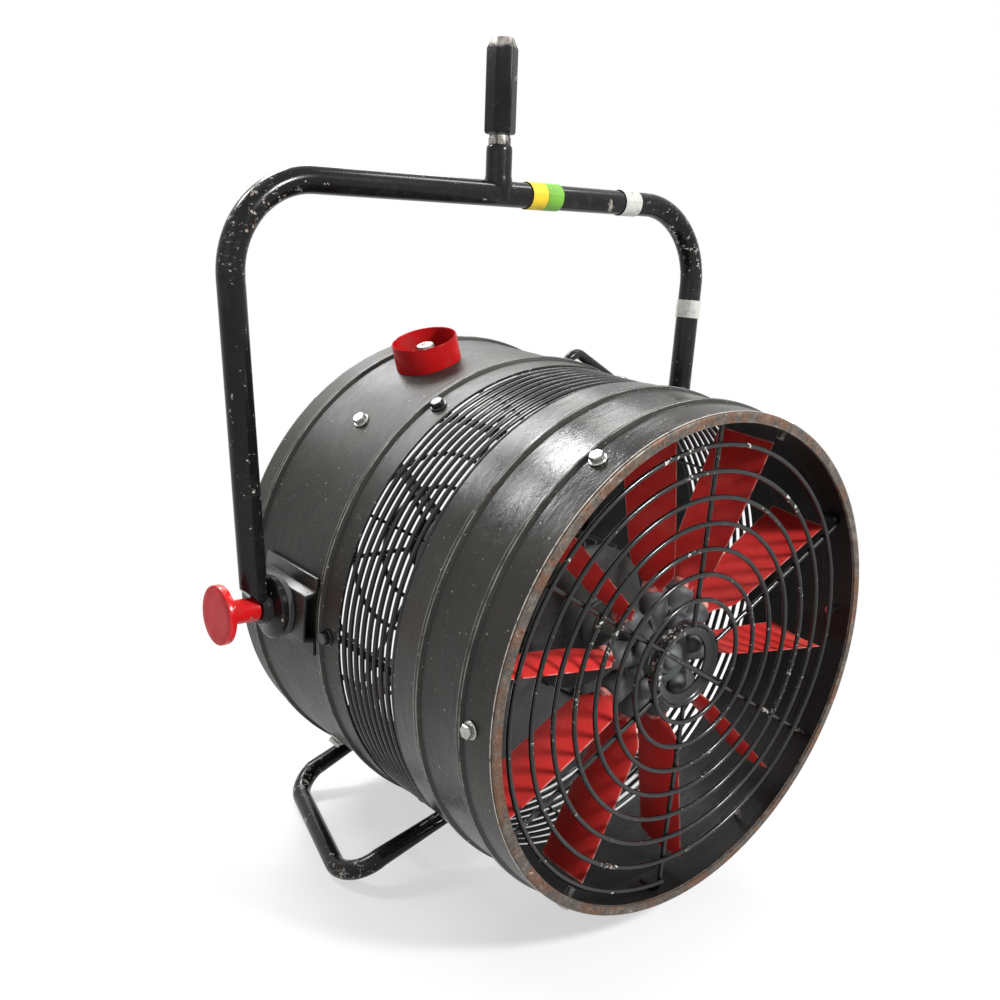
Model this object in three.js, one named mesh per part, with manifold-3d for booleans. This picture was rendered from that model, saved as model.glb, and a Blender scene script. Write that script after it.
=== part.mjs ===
// A drum fan on a tilting yoke: a sheet-steel drum in two shells joined by a wire intake cage,
// a ten-bladed impeller on a finned motor, wire guards, bent-tube feet and a bent-tube yoke
// with a hexagonal hanging spigot. Millimetres. +Z is up, +X lies along the yoke's pivot axis,
// and the air leaves towards -Y. The origin is on the ground, below the middle of the drum.

import * as THREE from 'three';
import { mergeVertices } from 'three/addons/utils/BufferGeometryUtils.js';
import Module from 'manifold-3d';

// ---------------------------------------------------------------- driving dimensions

const DRUM_RADIUS = 232;
const DRUM_LENGTH = 407;
const AXIS_HEIGHT = 263;
const SHEET = 2.5;
const SEAT_GAP = 0.3;

const FRONT_SHELL_END = 133;
const REAR_SHELL_START = 221;
const RIM_LIP = 9.5;
const RIB_HEIGHT = 3.4;
const RIB_WIDTH = 11;
const FRONT_RIBS = [40, 98];
const REAR_RIBS = [252, 377];

const DRUM_SEGMENTS = 36;

const WIRE_RADIUS = 2.6;
const CAGE_WIRE_RADIUS = 2;
const CAGE_WIRES = 9;
const GRILLE_STATION = 9;
const SPIRAL_FIRST_ANGLE = 150;
const SPIRAL_INNER = 44.4;
const SPIRAL_OUTER = 213.8;
const SPIRAL_TURNS = 22 / 3;
const GRILLE_SPOKES = 6;
const GRILLE_EYE = 40;
const REAR_GRILLE_STATION = 396;
const REAR_GRILLE_RINGS = 5;
const REAR_INNER_RING = 66;
const REAR_OUTER_RING = 214;
const REAR_GRILLE_HOOP = 225;
const REAR_DISC_RADIUS = 34;

const FIXINGS = 6;
const FIXING_ANGLE = 3;
const FRONT_BOLT_STATION = 26.4;
const CAGE_BOLT_STATION = 238;
const MOTOR_BOLT_STATION = 311;
const MOTOR_ARM_ANGLE = 43.8;
const MOTOR_ARMS = 4;
const BOLT_HOLE = 4.7;

const BLADES = 10;
const BLADE_STATION = 54;
const BLADE_CHORD = 60;
const BLADE_TIP = 214;
const BLADE_ROOT = 66;
const BLADE_PITCH = 86;
const BLADE_FIRST_ANGLE = 30;
const SOCKET_RADIUS = 13;
const SHANK_RADIUS = 7.4;
const SHANK_BORE = 8.3;
const HUB_RADIUS = 44;

const MOTOR_RADIUS = 76;
const MOTOR_FRONT = 150;
const MOTOR_REAR = 300;
const SHAFT_RADIUS = 9.5;
const SHAFT_TIP = 36;
const MOTOR_FINS = 16;
const FIN_DEPTH = 8;
const COVER_RADIUS = 72;

const PIVOT_STATION = 301.6;
const YOKE_TUBE = 12.7;
const YOKE_TILT = 4.87;
const YOKE_PIVOT_HALF = 272;
const YOKE_TOP_HALF = 299;
const YOKE_HEIGHT = 386;
const YOKE_BEND = 82;
const SPIGOT_SEAT = 432;
const SPIGOT_TOP = 533;

const BRACKET_CROWN = 246;
const BRACKET_SHEET = 3;
const BRACKET_LENGTH = 92;
const BRACKET_END = 350;
const DISC_THICKNESS = 6.4;
const DISC_RADIUS = 29.5;
const KNOB_FACE = 311;

const FOOT_TUBE = 9.5;
const FOOT_BEND = 32;
const FOOT_FLAT = 0.5;
const FOOT_FRONT = 204;
const FOOT_REAR = 392;
const FOOT_SPREAD_FRONT = 219;
const FOOT_SPREAD_REAR = 163;
const FOOT_JOINT_FRONT = [95, -191];
const FOOT_JOINT_REAR = [80, -188];

const BUTTON_ANGLE = 109;
const BUTTON_STATION = 327.6;
const GUARD_RADIUS = 32.4;
const GUARD_HEIGHT = 24;

const HANDLE_STATION = 312;
const HANDLE_BAR = 5.5;
const HANDLE_FIRST_ANGLE = 34;
const HANDLE_LAST_ANGLE = 66;
const HANDLE_REACH = 20;
const HANDLE_BEND = 14;

// ---------------------------------------------------------------- solids from geometry

const wasm = await Module();
wasm.setup();

const radians = THREE.MathUtils.degToRad;

// Distance behind the front rim, turned into a Y of this part.
const station = (behindRim) => behindRim - DRUM_LENGTH / 2;

function weld(geometry) {
  const bare = geometry.clone();
  for (const name of Object.keys(bare.attributes)) {
    if (name !== 'position') bare.deleteAttribute(name);
  }
  const merged = mergeVertices(bare, 1e-3);
  const { array } = merged.index;
  const triangles = [];
  for (let i = 0; i < array.length; i += 3) {
    const [a, b, c] = [array[i], array[i + 1], array[i + 2]];
    if (a !== b && b !== c && c !== a) triangles.push(a, b, c);
  }
  return { positions: merged.attributes.position.array, triangles };
}

function signedVolume(positions, triangles) {
  const corner = (k) => new THREE.Vector3().fromArray(positions, 3 * triangles[k]);
  let volume = 0;
  for (let i = 0; i < triangles.length; i += 3) {
    volume += corner(i).dot(corner(i + 1).cross(corner(i + 2)));
  }
  return volume;
}

function solidOf(geometry, matrix = new THREE.Matrix4()) {
  const { positions, triangles } = weld(geometry.clone().applyMatrix4(matrix));
  if (signedVolume(positions, triangles) < 0) triangles.reverse();
  const mesh = new wasm.Mesh({
    numProp: 3,
    vertProperties: new Float32Array(positions),
    triVerts: new Uint32Array(triangles),
  });
  return new wasm.Manifold(mesh);
}

function geometryOf(solid) {
  const { vertProperties, triVerts } = solid.getMesh();
  const geometry = new THREE.BufferGeometry();
  geometry.setAttribute('position', new THREE.BufferAttribute(vertProperties, 3));
  geometry.setIndex(new THREE.BufferAttribute(triVerts, 1));
  return geometry;
}

const join = (...solids) => solids.reduce((sum, next) => sum.add(next));
const cut = (solid, ...tools) => tools.reduce((rest, tool) => rest.subtract(tool), solid);

// ---------------------------------------------------------------- forms

// A closed profile of [radius, station] pairs turned about the drum's own axis.
function drumTurn(profile, segments) {
  const points = profile.map(([r, y]) => new THREE.Vector2(r, station(y)));
  points.push(points[0].clone());
  return solidOf(new THREE.LatheGeometry(points, segments));
}

// A profile of [radius, height] pairs that starts and ends on the axis, turned about the
// line from a point along a direction.
function turned(profile, segments, from, direction) {
  const points = profile.map(([r, h]) => new THREE.Vector2(r, h));
  return solidOf(new THREE.LatheGeometry(points, segments), along(from, direction));
}

function along(from, direction) {
  const turn = new THREE.Quaternion();
  turn.setFromUnitVectors(new THREE.Vector3(0, 1, 0), direction.clone().normalize());
  return new THREE.Matrix4().compose(from, turn, new THREE.Vector3(1, 1, 1));
}

function rod(from, to, radius, sides) {
  const length = from.distanceTo(to);
  const shape = new THREE.CylinderGeometry(radius, radius, length, sides);
  const middle = from.clone().lerp(to, 0.5);
  return solidOf(shape, along(middle, to.clone().sub(from)));
}

function block(width, depth, height, centre, matrix = new THREE.Matrix4()) {
  const shape = new THREE.BoxGeometry(width, depth, height);
  shape.translate(centre.x, centre.y, centre.z);
  return solidOf(shape, matrix);
}

// A route through corners whose bends are arcs, sampled at its straight ends and bend steps.
class BentRoute extends THREE.Curve {
  constructor(corners, bendRadius, bendSteps) {
    super();
    this.stops = [];
    const last = corners.length - 1;
    const heading = (i) => corners[i + 1].clone().sub(corners[i]).normalize();
    this.stops.push({ point: corners[0], tangent: heading(0) });
    for (let i = 1; i < last; i++) {
      this.addBend(corners[i], heading(i - 1), heading(i), bendRadius, bendSteps);
    }
    this.stops.push({ point: corners[last], tangent: heading(last - 1) });
  }

  addBend(corner, before, after, bendRadius, bendSteps) {
    const turn = before.angleTo(after);
    const setback = bendRadius * Math.tan(turn / 2);
    const axis = before.clone().cross(after).normalize();
    const start = corner.clone().addScaledVector(before, -setback);
    const inward = axis.clone().cross(before);
    const centre = start.clone().addScaledVector(inward, bendRadius);
    for (let step = 0; step <= bendSteps; step++) {
      const angle = (turn * step) / bendSteps;
      const spoke = inward.clone().negate().applyAxisAngle(axis, angle);
      const point = centre.clone().addScaledVector(spoke, bendRadius);
      this.stops.push({ point, tangent: before.clone().applyAxisAngle(axis, angle) });
    }
  }

  get steps() {
    return this.stops.length - 1;
  }

  getPointAt(u) {
    return this.stops[Math.round(u * this.steps)].point.clone();
  }

  getTangentAt(u) {
    return this.stops[Math.round(u * this.steps)].tangent.clone();
  }
}

function roundSection(radius, sides) {
  const corners = [];
  for (let i = 0; i < sides; i++) {
    const angle = (2 * Math.PI * (i + 0.5)) / sides;
    corners.push(new THREE.Vector2(radius * Math.cos(angle), radius * Math.sin(angle)));
  }
  return new THREE.Shape(corners);
}

function bentTube(corners, radius, bendRadius, bendSteps, sides) {
  const route = new BentRoute(corners, bendRadius, bendSteps);
  const shape = roundSection(radius, sides);
  return solidOf(new THREE.ExtrudeGeometry(shape, { steps: route.steps, extrudePath: route }));
}

// A point on a circle about the drum's axis, by its angle from +X and its station.
function polar(angle, radius, behindRim) {
  const x = radius * Math.cos(radians(angle));
  const z = radius * Math.sin(radians(angle));
  return new THREE.Vector3(x, station(behindRim), z);
}

const outward = (angle) => new THREE.Vector3(Math.cos(radians(angle)), 0, Math.sin(radians(angle)));
const v3 = (x, y, z) => new THREE.Vector3(x, y, z);

// A round space about the drum's axis whose flats lie at the radius or just outside it.
function drumSpace(radius, from = -DRUM_LENGTH, to = 2 * DRUM_LENGTH) {
  const sides = 60;
  const corner = radius / Math.cos(Math.PI / sides);
  return rod(v3(0, station(from), 0), v3(0, station(to), 0), corner, sides);
}

// ---------------------------------------------------------------- scene graph

const group = new THREE.Group();
const drum = new THREE.Group();
drum.position.z = AXIS_HEIGHT;
const yokeFrame = new THREE.Group();
yokeFrame.position.y = station(PIVOT_STATION);
yokeFrame.rotation.x = radians(-YOKE_TILT);
drum.add(yokeFrame);
group.add(drum);

const finish = (color, roughness, metalness) => ({ color, roughness, metalness });
const SATIN_BLACK = finish(0x2b2c2b, 0.45, 0.5);
const GLOSS_BLACK = finish(0x111111, 0.25, 0.3);
const WIRE_BLACK = finish(0x1a1a1a, 0.4, 0.4);
const SIGNAL_RED = finish(0xb5121b, 0.4, 0.1);
const CAST_GREY = finish(0x3a3d3c, 0.6, 0.5);
const ZINC = finish(0xb9bbb8, 0.3, 0.9);

function piece(name, solid, look, parent = drum) {
  const mesh = new THREE.Mesh(geometryOf(solid), new THREE.MeshStandardMaterial(look));
  mesh.name = name;
  parent.add(mesh);
}

// ---------------------------------------------------------------- drum shells

// The outer line of a rolled rib that stands proud of the sheet.
function rib(middle) {
  const crest = DRUM_RADIUS + RIB_HEIGHT;
  return [
    [DRUM_RADIUS, middle - RIB_WIDTH / 2],
    [crest, middle - RIB_WIDTH / 5],
    [crest, middle + RIB_WIDTH / 5],
    [DRUM_RADIUS, middle + RIB_WIDTH / 2],
  ];
}

function boltHoles(shell, angles, behindRim) {
  const through = 12;
  const holes = angles.map((angle) => {
    const inner = polar(angle, DRUM_RADIUS - through, behindRim);
    return rod(inner, polar(angle, DRUM_RADIUS + through, behindRim), BOLT_HOLE, 6);
  });
  return cut(shell, ...holes);
}

const fixingAngles = Array.from({ length: FIXINGS }, (_, i) => FIXING_ANGLE + (360 / FIXINGS) * i);
const motorAngles = Array.from({ length: MOTOR_ARMS }, (_, i) => MOTOR_ARM_ANGLE + 90 * i);

function makeShells() {
  const inside = DRUM_RADIUS - SHEET;
  const lip = DRUM_RADIUS - RIM_LIP;
  const front = drumTurn([
    [lip, 0],
    [DRUM_RADIUS - 1, 0],
    [DRUM_RADIUS, 1],
    ...FRONT_RIBS.flatMap(rib),
    [DRUM_RADIUS, FRONT_SHELL_END],
    [inside, FRONT_SHELL_END],
    [inside, SHEET],
    [lip, SHEET],
  ], DRUM_SEGMENTS);
  piece('front_shell', boltHoles(front, fixingAngles, FRONT_BOLT_STATION), SATIN_BLACK);

  const rear = drumTurn([
    [inside, REAR_SHELL_START],
    [DRUM_RADIUS, REAR_SHELL_START],
    ...REAR_RIBS.flatMap(rib),
    [DRUM_RADIUS, DRUM_LENGTH - 1],
    [DRUM_RADIUS - 1, DRUM_LENGTH],
    [lip, DRUM_LENGTH],
    [lip, DRUM_LENGTH - SHEET],
    [inside, DRUM_LENGTH - SHEET],
  ], DRUM_SEGMENTS);
  const bored = boltHoles(rear, motorAngles, MOTOR_BOLT_STATION);
  piece('rear_shell', boltHoles(bored, fixingAngles, CAGE_BOLT_STATION), SATIN_BLACK);
}

// ---------------------------------------------------------------- wire work

// A wire hoop about the drum's axis, of three-sided section with one corner outwards.
function hoop(radius, behindRim, wire, segments) {
  return drumTurn([
    [radius - wire * 0.6, behindRim - wire],
    [radius - wire * 0.6, behindRim + wire],
    [radius + wire * 1.1, behindRim],
  ], segments);
}

// A hexagon-headed bolt with a flange, seated on the drum and pointing to its axis.
function drumBolt(angle, behindRim, shank) {
  const seat = DRUM_RADIUS + SEAT_GAP;
  const head = turned([[0, -shank], [4, -shank], [4, 0], [8, 0.2], [7.6, 1.8], [0, 1.8]], 6,
    polar(angle, seat, behindRim), outward(angle));
  const hex = rod(polar(angle, seat + 1, behindRim), polar(angle, seat + 6.5, behindRim), 6.6, 6);
  return join(head, hex);
}

function makeIntakeCage() {
  const reach = REAR_SHELL_START - FRONT_SHELL_END;
  const wireCircle = DRUM_RADIUS - SHEET - CAGE_WIRE_RADIUS - SEAT_GAP;
  const hoops = Array.from({ length: CAGE_WIRES }, (_, i) => {
    const behindRim = FRONT_SHELL_END + (reach * (i + 0.5)) / CAGE_WIRES;
    return hoop(wireCircle + 1.4, behindRim, CAGE_WIRE_RADIUS, 24);
  });
  const stays = fixingAngles.map((angle) => {
    const from = polar(angle, wireCircle - 2.5, FRONT_SHELL_END - 22);
    return rod(from, polar(angle, wireCircle - 2.5, CAGE_BOLT_STATION + 10), 3.6, 4);
  });
  const bolts = fixingAngles.map((angle) => drumBolt(angle, CAGE_BOLT_STATION, 7));
  piece('intake_cage', join(...hoops, ...stays, ...bolts), WIRE_BLACK);
}

const SPOKE_STEP = WIRE_RADIUS + 0.6;
const spokeAngles = Array.from({ length: GRILLE_SPOKES }, (_, i) => (360 / GRILLE_SPOKES) * i);

// The flat spiral of the front guard, which winds outwards clockwise as seen from the front.
class GuardSpiral extends THREE.Curve {
  getPoint(t) {
    const radius = SPIRAL_INNER + (SPIRAL_OUTER - SPIRAL_INNER) * t;
    return polar(SPIRAL_FIRST_ANGLE - 360 * SPIRAL_TURNS * t, radius, GRILLE_STATION);
  }

  getPointAt(u) {
    return this.getPoint(u);
  }

  getTangentAt(u) {
    return this.getTangent(u);
  }
}

function guardSpiral() {
  const shape = roundSection(WIRE_RADIUS, 4);
  const steps = 24 * SPIRAL_TURNS;
  return solidOf(new THREE.ExtrudeGeometry(shape, { steps, extrudePath: new GuardSpiral() }));
}

// A front spoke from the centre ring out to the shell, where it turns back along the sheet.
function frontSpoke(angle) {
  const edge = DRUM_RADIUS - SHEET - WIRE_RADIUS - SEAT_GAP;
  const behindRim = GRILLE_STATION + SPOKE_STEP;
  const corners = [
    polar(angle, GRILLE_EYE - 6, behindRim),
    polar(angle, edge, behindRim),
    polar(angle, edge, behindRim + 22),
  ];
  return bentTube(corners, WIRE_RADIUS, 8, 2, 4);
}

function makeFrontGrille() {
  const spokes = spokeAngles.map((angle) => frontSpoke(angle + 30));
  const centreRing = drumTurn([
    [29, 11],
    [37, 11],
    [GRILLE_EYE, 13],
    [GRILLE_EYE, 24],
    [37.5, 24],
    [37.5, 14],
    [29, 13.5],
  ], 20);
  const [left, right] = [150, -30].map((angle) => polar(angle, GRILLE_EYE, GRILLE_STATION + SPOKE_STEP));
  const bar = rod(left, right, WIRE_RADIUS, 4);
  piece('front_grille', join(guardSpiral(), ...spokes, centreRing, bar), WIRE_BLACK);
}

// The flat guard behind the rear lip: its outer hoop lies inside the shell.
function makeRearGrille() {
  const crossing = REAR_GRILLE_STATION - SPOKE_STEP;
  const tip = DRUM_RADIUS - SHEET - 2 * SEAT_GAP;
  const spokes = spokeAngles.map((angle) =>
    rod(polar(angle, REAR_DISC_RADIUS - 6, crossing), polar(angle, tip, crossing), WIRE_RADIUS, 4));
  const disc = drumTurn([
    [0, crossing - 1],
    [REAR_DISC_RADIUS, crossing - 1],
    [REAR_DISC_RADIUS, crossing + 3],
    [0, crossing + 3],
  ], 16);
  const pitch = (REAR_OUTER_RING - REAR_INNER_RING) / (REAR_GRILLE_RINGS - 1);
  const rings = Array.from({ length: REAR_GRILLE_RINGS }, (_, i) =>
    hoop(REAR_INNER_RING + pitch * i, REAR_GRILLE_STATION, WIRE_RADIUS, i < 2 ? 16 : 24));
  const outer = hoop(REAR_GRILLE_HOOP, REAR_GRILLE_STATION, WIRE_RADIUS, 24);
  piece('rear_grille', join(...rings, outer, ...spokes, disc), WIRE_BLACK);
}

function makeFrontBolts() {
  fixingAngles.forEach((angle, i) => {
    piece(`front_bolt_${i + 1}`, drumBolt(angle, FRONT_BOLT_STATION, 12), ZINC);
  });
}

// ---------------------------------------------------------------- impeller

// One clamp plate of the hub: a disc with ten half-round knuckles that grip the blade shanks.
// side is -1 for the plate in front of the blades and 1 for the one behind.
function hubPlate(side) {
  const face = BLADE_STATION + side * 0.15;
  const disc = drumTurn([
    [SHAFT_RADIUS + SEAT_GAP, face],
    [HUB_RADIUS, face],
    [HUB_RADIUS, face + side * 8],
    [26, face + side * 11],
    [26, face + side * 17],
    [SHAFT_RADIUS + SEAT_GAP, face + side * 17],
  ], 20);
  const knuckles = [];
  const bores = [];
  for (let i = 0; i < BLADES; i++) {
    const angle = BLADE_FIRST_ANGLE + (360 / BLADES) * i;
    const root = polar(angle, 0, BLADE_STATION);
    const barrel = [[0, 30], [SOCKET_RADIUS, 30], [SOCKET_RADIUS, 60], [10, 64.5], [0, 64.5]];
    knuckles.push(turned(barrel, 8, root, outward(angle)));
    const bore = [[0, 37], [SHANK_BORE, 37], [SHANK_BORE, 70], [0, 70]];
    bores.push(turned(bore, 8, root, outward(angle)));
  }
  const reach = 40;
  const middle = v3(0, station(face + side * (reach / 2)), 0);
  const half = block(200, reach, 200, middle);
  const gripped = join(...knuckles).intersect(half);
  const waist = rod(v3(0, station(0), 0), v3(0, station(110), 0), SHAFT_RADIUS + SEAT_GAP, 20);
  return cut(join(disc, gripped), waist, ...bores);
}

// The blade's section at a radius: a cambered plate, thick at its leading edge, turned to its
// pitch. A line across the section goes from 0 at the leading edge to 1 at the trailing edge.
function bladeSection(radius, chord, pitch) {
  const steps = 4;
  const skin = (t, side) => {
    const camber = 3.2 * (1 - (2 * t - 1) ** 2);
    const thickness = 2.6 * Math.sqrt(t * 4 + 0.05) * (1 - t) + 0.9;
    return [(t - 0.5) * chord, camber + side * thickness];
  };
  const outline = [];
  for (let i = 0; i <= steps; i++) outline.push(skin(i / steps, 1));
  for (let i = steps; i >= 0; i--) outline.push(skin(i / steps, -1));
  const cosine = Math.cos(radians(pitch));
  const sine = Math.sin(radians(pitch));
  return outline.map(([c, n]) => v3(radius, c * sine + n * cosine, c * cosine - n * sine));
}

// Sections joined side by side and closed at both ends.
function loft(sections) {
  const around = sections[0].length;
  const positions = sections.flat().flatMap((p) => [p.x, p.y, p.z]);
  const triangles = [];
  for (let s = 0; s < sections.length - 1; s++) {
    for (let i = 0; i < around; i++) {
      const a = s * around + i;
      const b = s * around + ((i + 1) % around);
      triangles.push(a, b, a + around, b, b + around, a + around);
    }
  }
  const end = (sections.length - 1) * around;
  for (let i = 1; i < around - 1; i++) {
    triangles.push(0, i + 1, i);
    triangles.push(end, end + i, end + i + 1);
  }
  const geometry = new THREE.BufferGeometry();
  geometry.setAttribute('position', new THREE.Float32BufferAttribute(positions, 3));
  geometry.setIndex(triangles);
  return solidOf(geometry);
}

function makeBlade() {
  const sections = [0, 0.33, 0.66, 1].map((t) => {
    const radius = BLADE_ROOT + (BLADE_TIP - BLADE_ROOT) * t;
    const chord = BLADE_CHORD * (0.8 + 0.2 * Math.min(1, t * 3));
    return bladeSection(radius, chord, BLADE_PITCH + 4 * (0.5 - t));
  });
  const shank = rod(v3(38, 0, 0), v3(BLADE_ROOT + 4, 0, 0), SHANK_RADIUS, 8);
  const rounded = turned([[0, 37], [BLADE_TIP, 37], [BLADE_TIP, -37], [0, -37]], 60,
    v3(0, 0, 0), v3(0, 1, 0));
  return join(loft(sections), shank).intersect(rounded);
}

const dome = (radius, height, steps) =>
  Array.from({ length: steps + 1 }, (_, i) => {
    const angle = (Math.PI / 2) * (i / steps);
    return [radius * Math.cos(angle) * (i < steps), height * Math.sin(angle)];
  });

function makeImpeller() {
  const front = v3(0, -1, 0);
  piece('hub_front_plate', hubPlate(-1), CAST_GREY);
  piece('hub_back_plate', hubPlate(1), CAST_GREY);
  const blade = geometryOf(makeBlade());
  for (let i = 0; i < BLADES; i++) {
    const mesh = new THREE.Mesh(blade, new THREE.MeshStandardMaterial(SIGNAL_RED));
    mesh.name = `blade_${i + 1}`;
    mesh.position.y = station(BLADE_STATION);
    mesh.rotation.y = -radians(BLADE_FIRST_ANGLE + (360 / BLADES) * i);
    drum.add(mesh);
  }
  const shaft = rod(v3(0, station(SHAFT_TIP), 0), v3(0, station(MOTOR_FRONT), 0), SHAFT_RADIUS, 16);
  piece('motor_shaft', shaft, ZINC);
  const nutSeat = v3(0, station(SHAFT_TIP - SEAT_GAP), 0);
  const nut = turned([[0, 0], [15, 0], [15, 2], [11, 2], ...dome(11, 7, 3)
    .map(([r, h]) => [r, h + 2])], 12, nutSeat, front);
  piece('hub_nut', nut, ZINC);
  for (let i = 0; i < 5; i++) {
    const angle = BLADE_FIRST_ANGLE - 18 + 72 * i;
    const seat = polar(angle, 35, BLADE_STATION - SOCKET_RADIUS - 0.6);
    const cap = [[0, 0], ...dome(8.5, 6, 3)];
    piece(`hub_bolt_${i + 1}`, turned(cap, 10, seat, front), CAST_GREY);
  }
}

// ---------------------------------------------------------------- motor

function makeMotor() {
  const outline = [];
  const root = MOTOR_RADIUS - FIN_DEPTH;
  for (let i = 0; i < MOTOR_FINS; i++) {
    for (const [offset, radius] of [[-0.2, MOTOR_RADIUS], [0.2, MOTOR_RADIUS], [0.3, root], [0.7, root]]) {
      const angle = (2 * Math.PI * (i + offset)) / MOTOR_FINS;
      outline.push(new THREE.Vector2(radius * Math.cos(angle), radius * Math.sin(angle)));
    }
  }
  const depth = MOTOR_REAR - MOTOR_FRONT - 2 * SEAT_GAP;
  const stator = new THREE.ExtrudeGeometry(new THREE.Shape(outline), { depth, bevelEnabled: false });
  const place = new THREE.Matrix4().makeRotationX(Math.PI / 2);
  place.setPosition(0, station(MOTOR_REAR - SEAT_GAP), 0);
  const bore = rod(v3(0, station(MOTOR_FRONT - 10), 0), v3(0, station(MOTOR_FRONT + 3), 0),
    SHAFT_RADIUS + 1, 16);
  piece('motor_body', cut(solidOf(stator, place), bore), CAST_GREY);

  const front = drumTurn([
    [SHAFT_RADIUS + 0.5, MOTOR_FRONT],
    [COVER_RADIUS, MOTOR_FRONT],
    [COVER_RADIUS, MOTOR_FRONT - 8],
    [46, MOTOR_FRONT - 16],
    [26, MOTOR_FRONT - 18],
    [24, MOTOR_FRONT - 25],
    [SHAFT_RADIUS + 0.5, MOTOR_FRONT - 25],
  ], 20);
  piece('motor_front_cover', front, CAST_GREY);

  const rear = drumTurn([
    [0, MOTOR_REAR],
    [COVER_RADIUS, MOTOR_REAR],
    [COVER_RADIUS, MOTOR_REAR + 24],
    [60, MOTOR_REAR + 32],
    [0, MOTOR_REAR + 34],
  ], 24);
  piece('motor_rear_cover', rear, CAST_GREY);
}

// A ring clamped round the motor's rear cover, with four arms out to the drum.
function makeMotorBracket() {
  const clampInside = COVER_RADIUS + 2 * SEAT_GAP;
  const clamp = drumTurn([
    [clampInside, MOTOR_BOLT_STATION - 10],
    [clampInside + 6, MOTOR_BOLT_STATION - 10],
    [clampInside + 6, MOTOR_BOLT_STATION + 12],
    [clampInside, MOTOR_BOLT_STATION + 12],
  ], 24);
  const end = (DRUM_RADIUS - SHEET) * Math.cos(Math.PI / DRUM_SEGMENTS) - 2 * SEAT_GAP;
  const arms = motorAngles.flatMap((angle) => {
    const turn = new THREE.Matrix4().makeRotationY(-radians(angle));
    const root = clampInside + 4;
    const y = station(MOTOR_BOLT_STATION + 1);
    const web = block(end - 1 - root, 20, 5, v3((root + end - 1) / 2, y, 0), turn);
    const pad = block(5, 22, 34, v3(end - 3, y, 0), turn);
    return [web, pad];
  });
  const sockets = motorAngles.map((angle) => {
    const bottom = polar(angle, end - 30, MOTOR_BOLT_STATION);
    return rod(bottom, polar(angle, end + 9, MOTOR_BOLT_STATION), 4.4, 8);
  });
  const bracket = join(clamp, ...arms).intersect(drumSpace(end));
  piece('motor_bracket', cut(bracket, ...sockets), CAST_GREY);
  motorAngles.forEach((angle, i) => {
    piece(`motor_bolt_${i + 1}`, drumBolt(angle, MOTOR_BOLT_STATION, 14), ZINC);
  });
}

// ---------------------------------------------------------------- button in its guard

function makeButton() {
  const away = outward(BUTTON_ANGLE);
  const base = polar(BUTTON_ANGLE, DRUM_RADIUS, BUTTON_STATION);
  const inner = GUARD_RADIUS - 2;
  const wall = [[0, -12], [GUARD_RADIUS, -12], [GUARD_RADIUS, GUARD_HEIGHT], [0, GUARD_HEIGHT]];
  const hollow = [[0, -14], [inner, -14], [inner, GUARD_HEIGHT + 2], [0, GUARD_HEIGHT + 2]];
  const tube = cut(turned(wall, 28, base, away), turned(hollow, 28, base, away));
  piece('button_guard', cut(tube, drumSpace(DRUM_RADIUS + SEAT_GAP)), SIGNAL_RED);

  const bezel = [[0, -3], [13, -3], [13, 9], [11.5, 10.5], [0, 10.5]];
  const bore = [[0, 3], [9, 3], [9, 12], [0, 12]];
  const body = cut(turned(bezel, 16, base, away), drumSpace(DRUM_RADIUS + SEAT_GAP));
  piece('button_bezel', cut(body, turned(bore, 16, base, away)), ZINC);
  const cap = [[0, 7], [8.6, 7], [8.6, 17.2], [7.8, 18], [1.6, 18], [0, 17.2]];
  piece('power_button', turned(cap, 16, base, away), ZINC);
}

// A bar bent to follow the drum's curve, with a short leg at each end.
function makeHandle() {
  const first = HANDLE_FIRST_ANGLE;
  const last = HANDLE_LAST_ANGLE;
  const reach = DRUM_RADIUS + HANDLE_REACH;
  const corners = [
    polar(first, DRUM_RADIUS - 6, HANDLE_STATION),
    polar(first, reach, HANDLE_STATION),
    polar((first + last) / 2, reach + 4, HANDLE_STATION),
    polar(last, reach, HANDLE_STATION),
    polar(last, DRUM_RADIUS - 6, HANDLE_STATION),
  ];
  const bow = bentTube(corners, HANDLE_BAR, HANDLE_BEND, 3, 8);
  piece('carrying_handle', cut(bow, drumSpace(DRUM_RADIUS + SEAT_GAP)), GLOSS_BLACK);
}

// ---------------------------------------------------------------- feet

function makeFoot(name, side) {
  const low = FOOT_TUBE - FOOT_FLAT - AXIS_HEIGHT;
  const corners = [
    v3(side * FOOT_JOINT_FRONT[0], station(FOOT_FRONT), FOOT_JOINT_FRONT[1]),
    v3(side * FOOT_SPREAD_FRONT, station(FOOT_FRONT), low),
    v3(side * FOOT_SPREAD_REAR, station(FOOT_REAR), low),
    v3(side * FOOT_JOINT_REAR[0], station(FOOT_REAR), FOOT_JOINT_REAR[1]),
  ];
  const tube = bentTube(corners, FOOT_TUBE, FOOT_BEND, 4, 10);
  const ground = block(600, 600, 20, v3(0, 0, -AXIS_HEIGHT - 10));
  const rearRib = REAR_RIBS[1];
  const crest = DRUM_RADIUS + RIB_HEIGHT + SEAT_GAP;
  const ribSpace = drumSpace(crest, rearRib - RIB_WIDTH, rearRib + RIB_WIDTH);
  piece(name, cut(tube, ground, drumSpace(DRUM_RADIUS + SEAT_GAP), ribSpace), GLOSS_BLACK);
}

// ---------------------------------------------------------------- pivots

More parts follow.
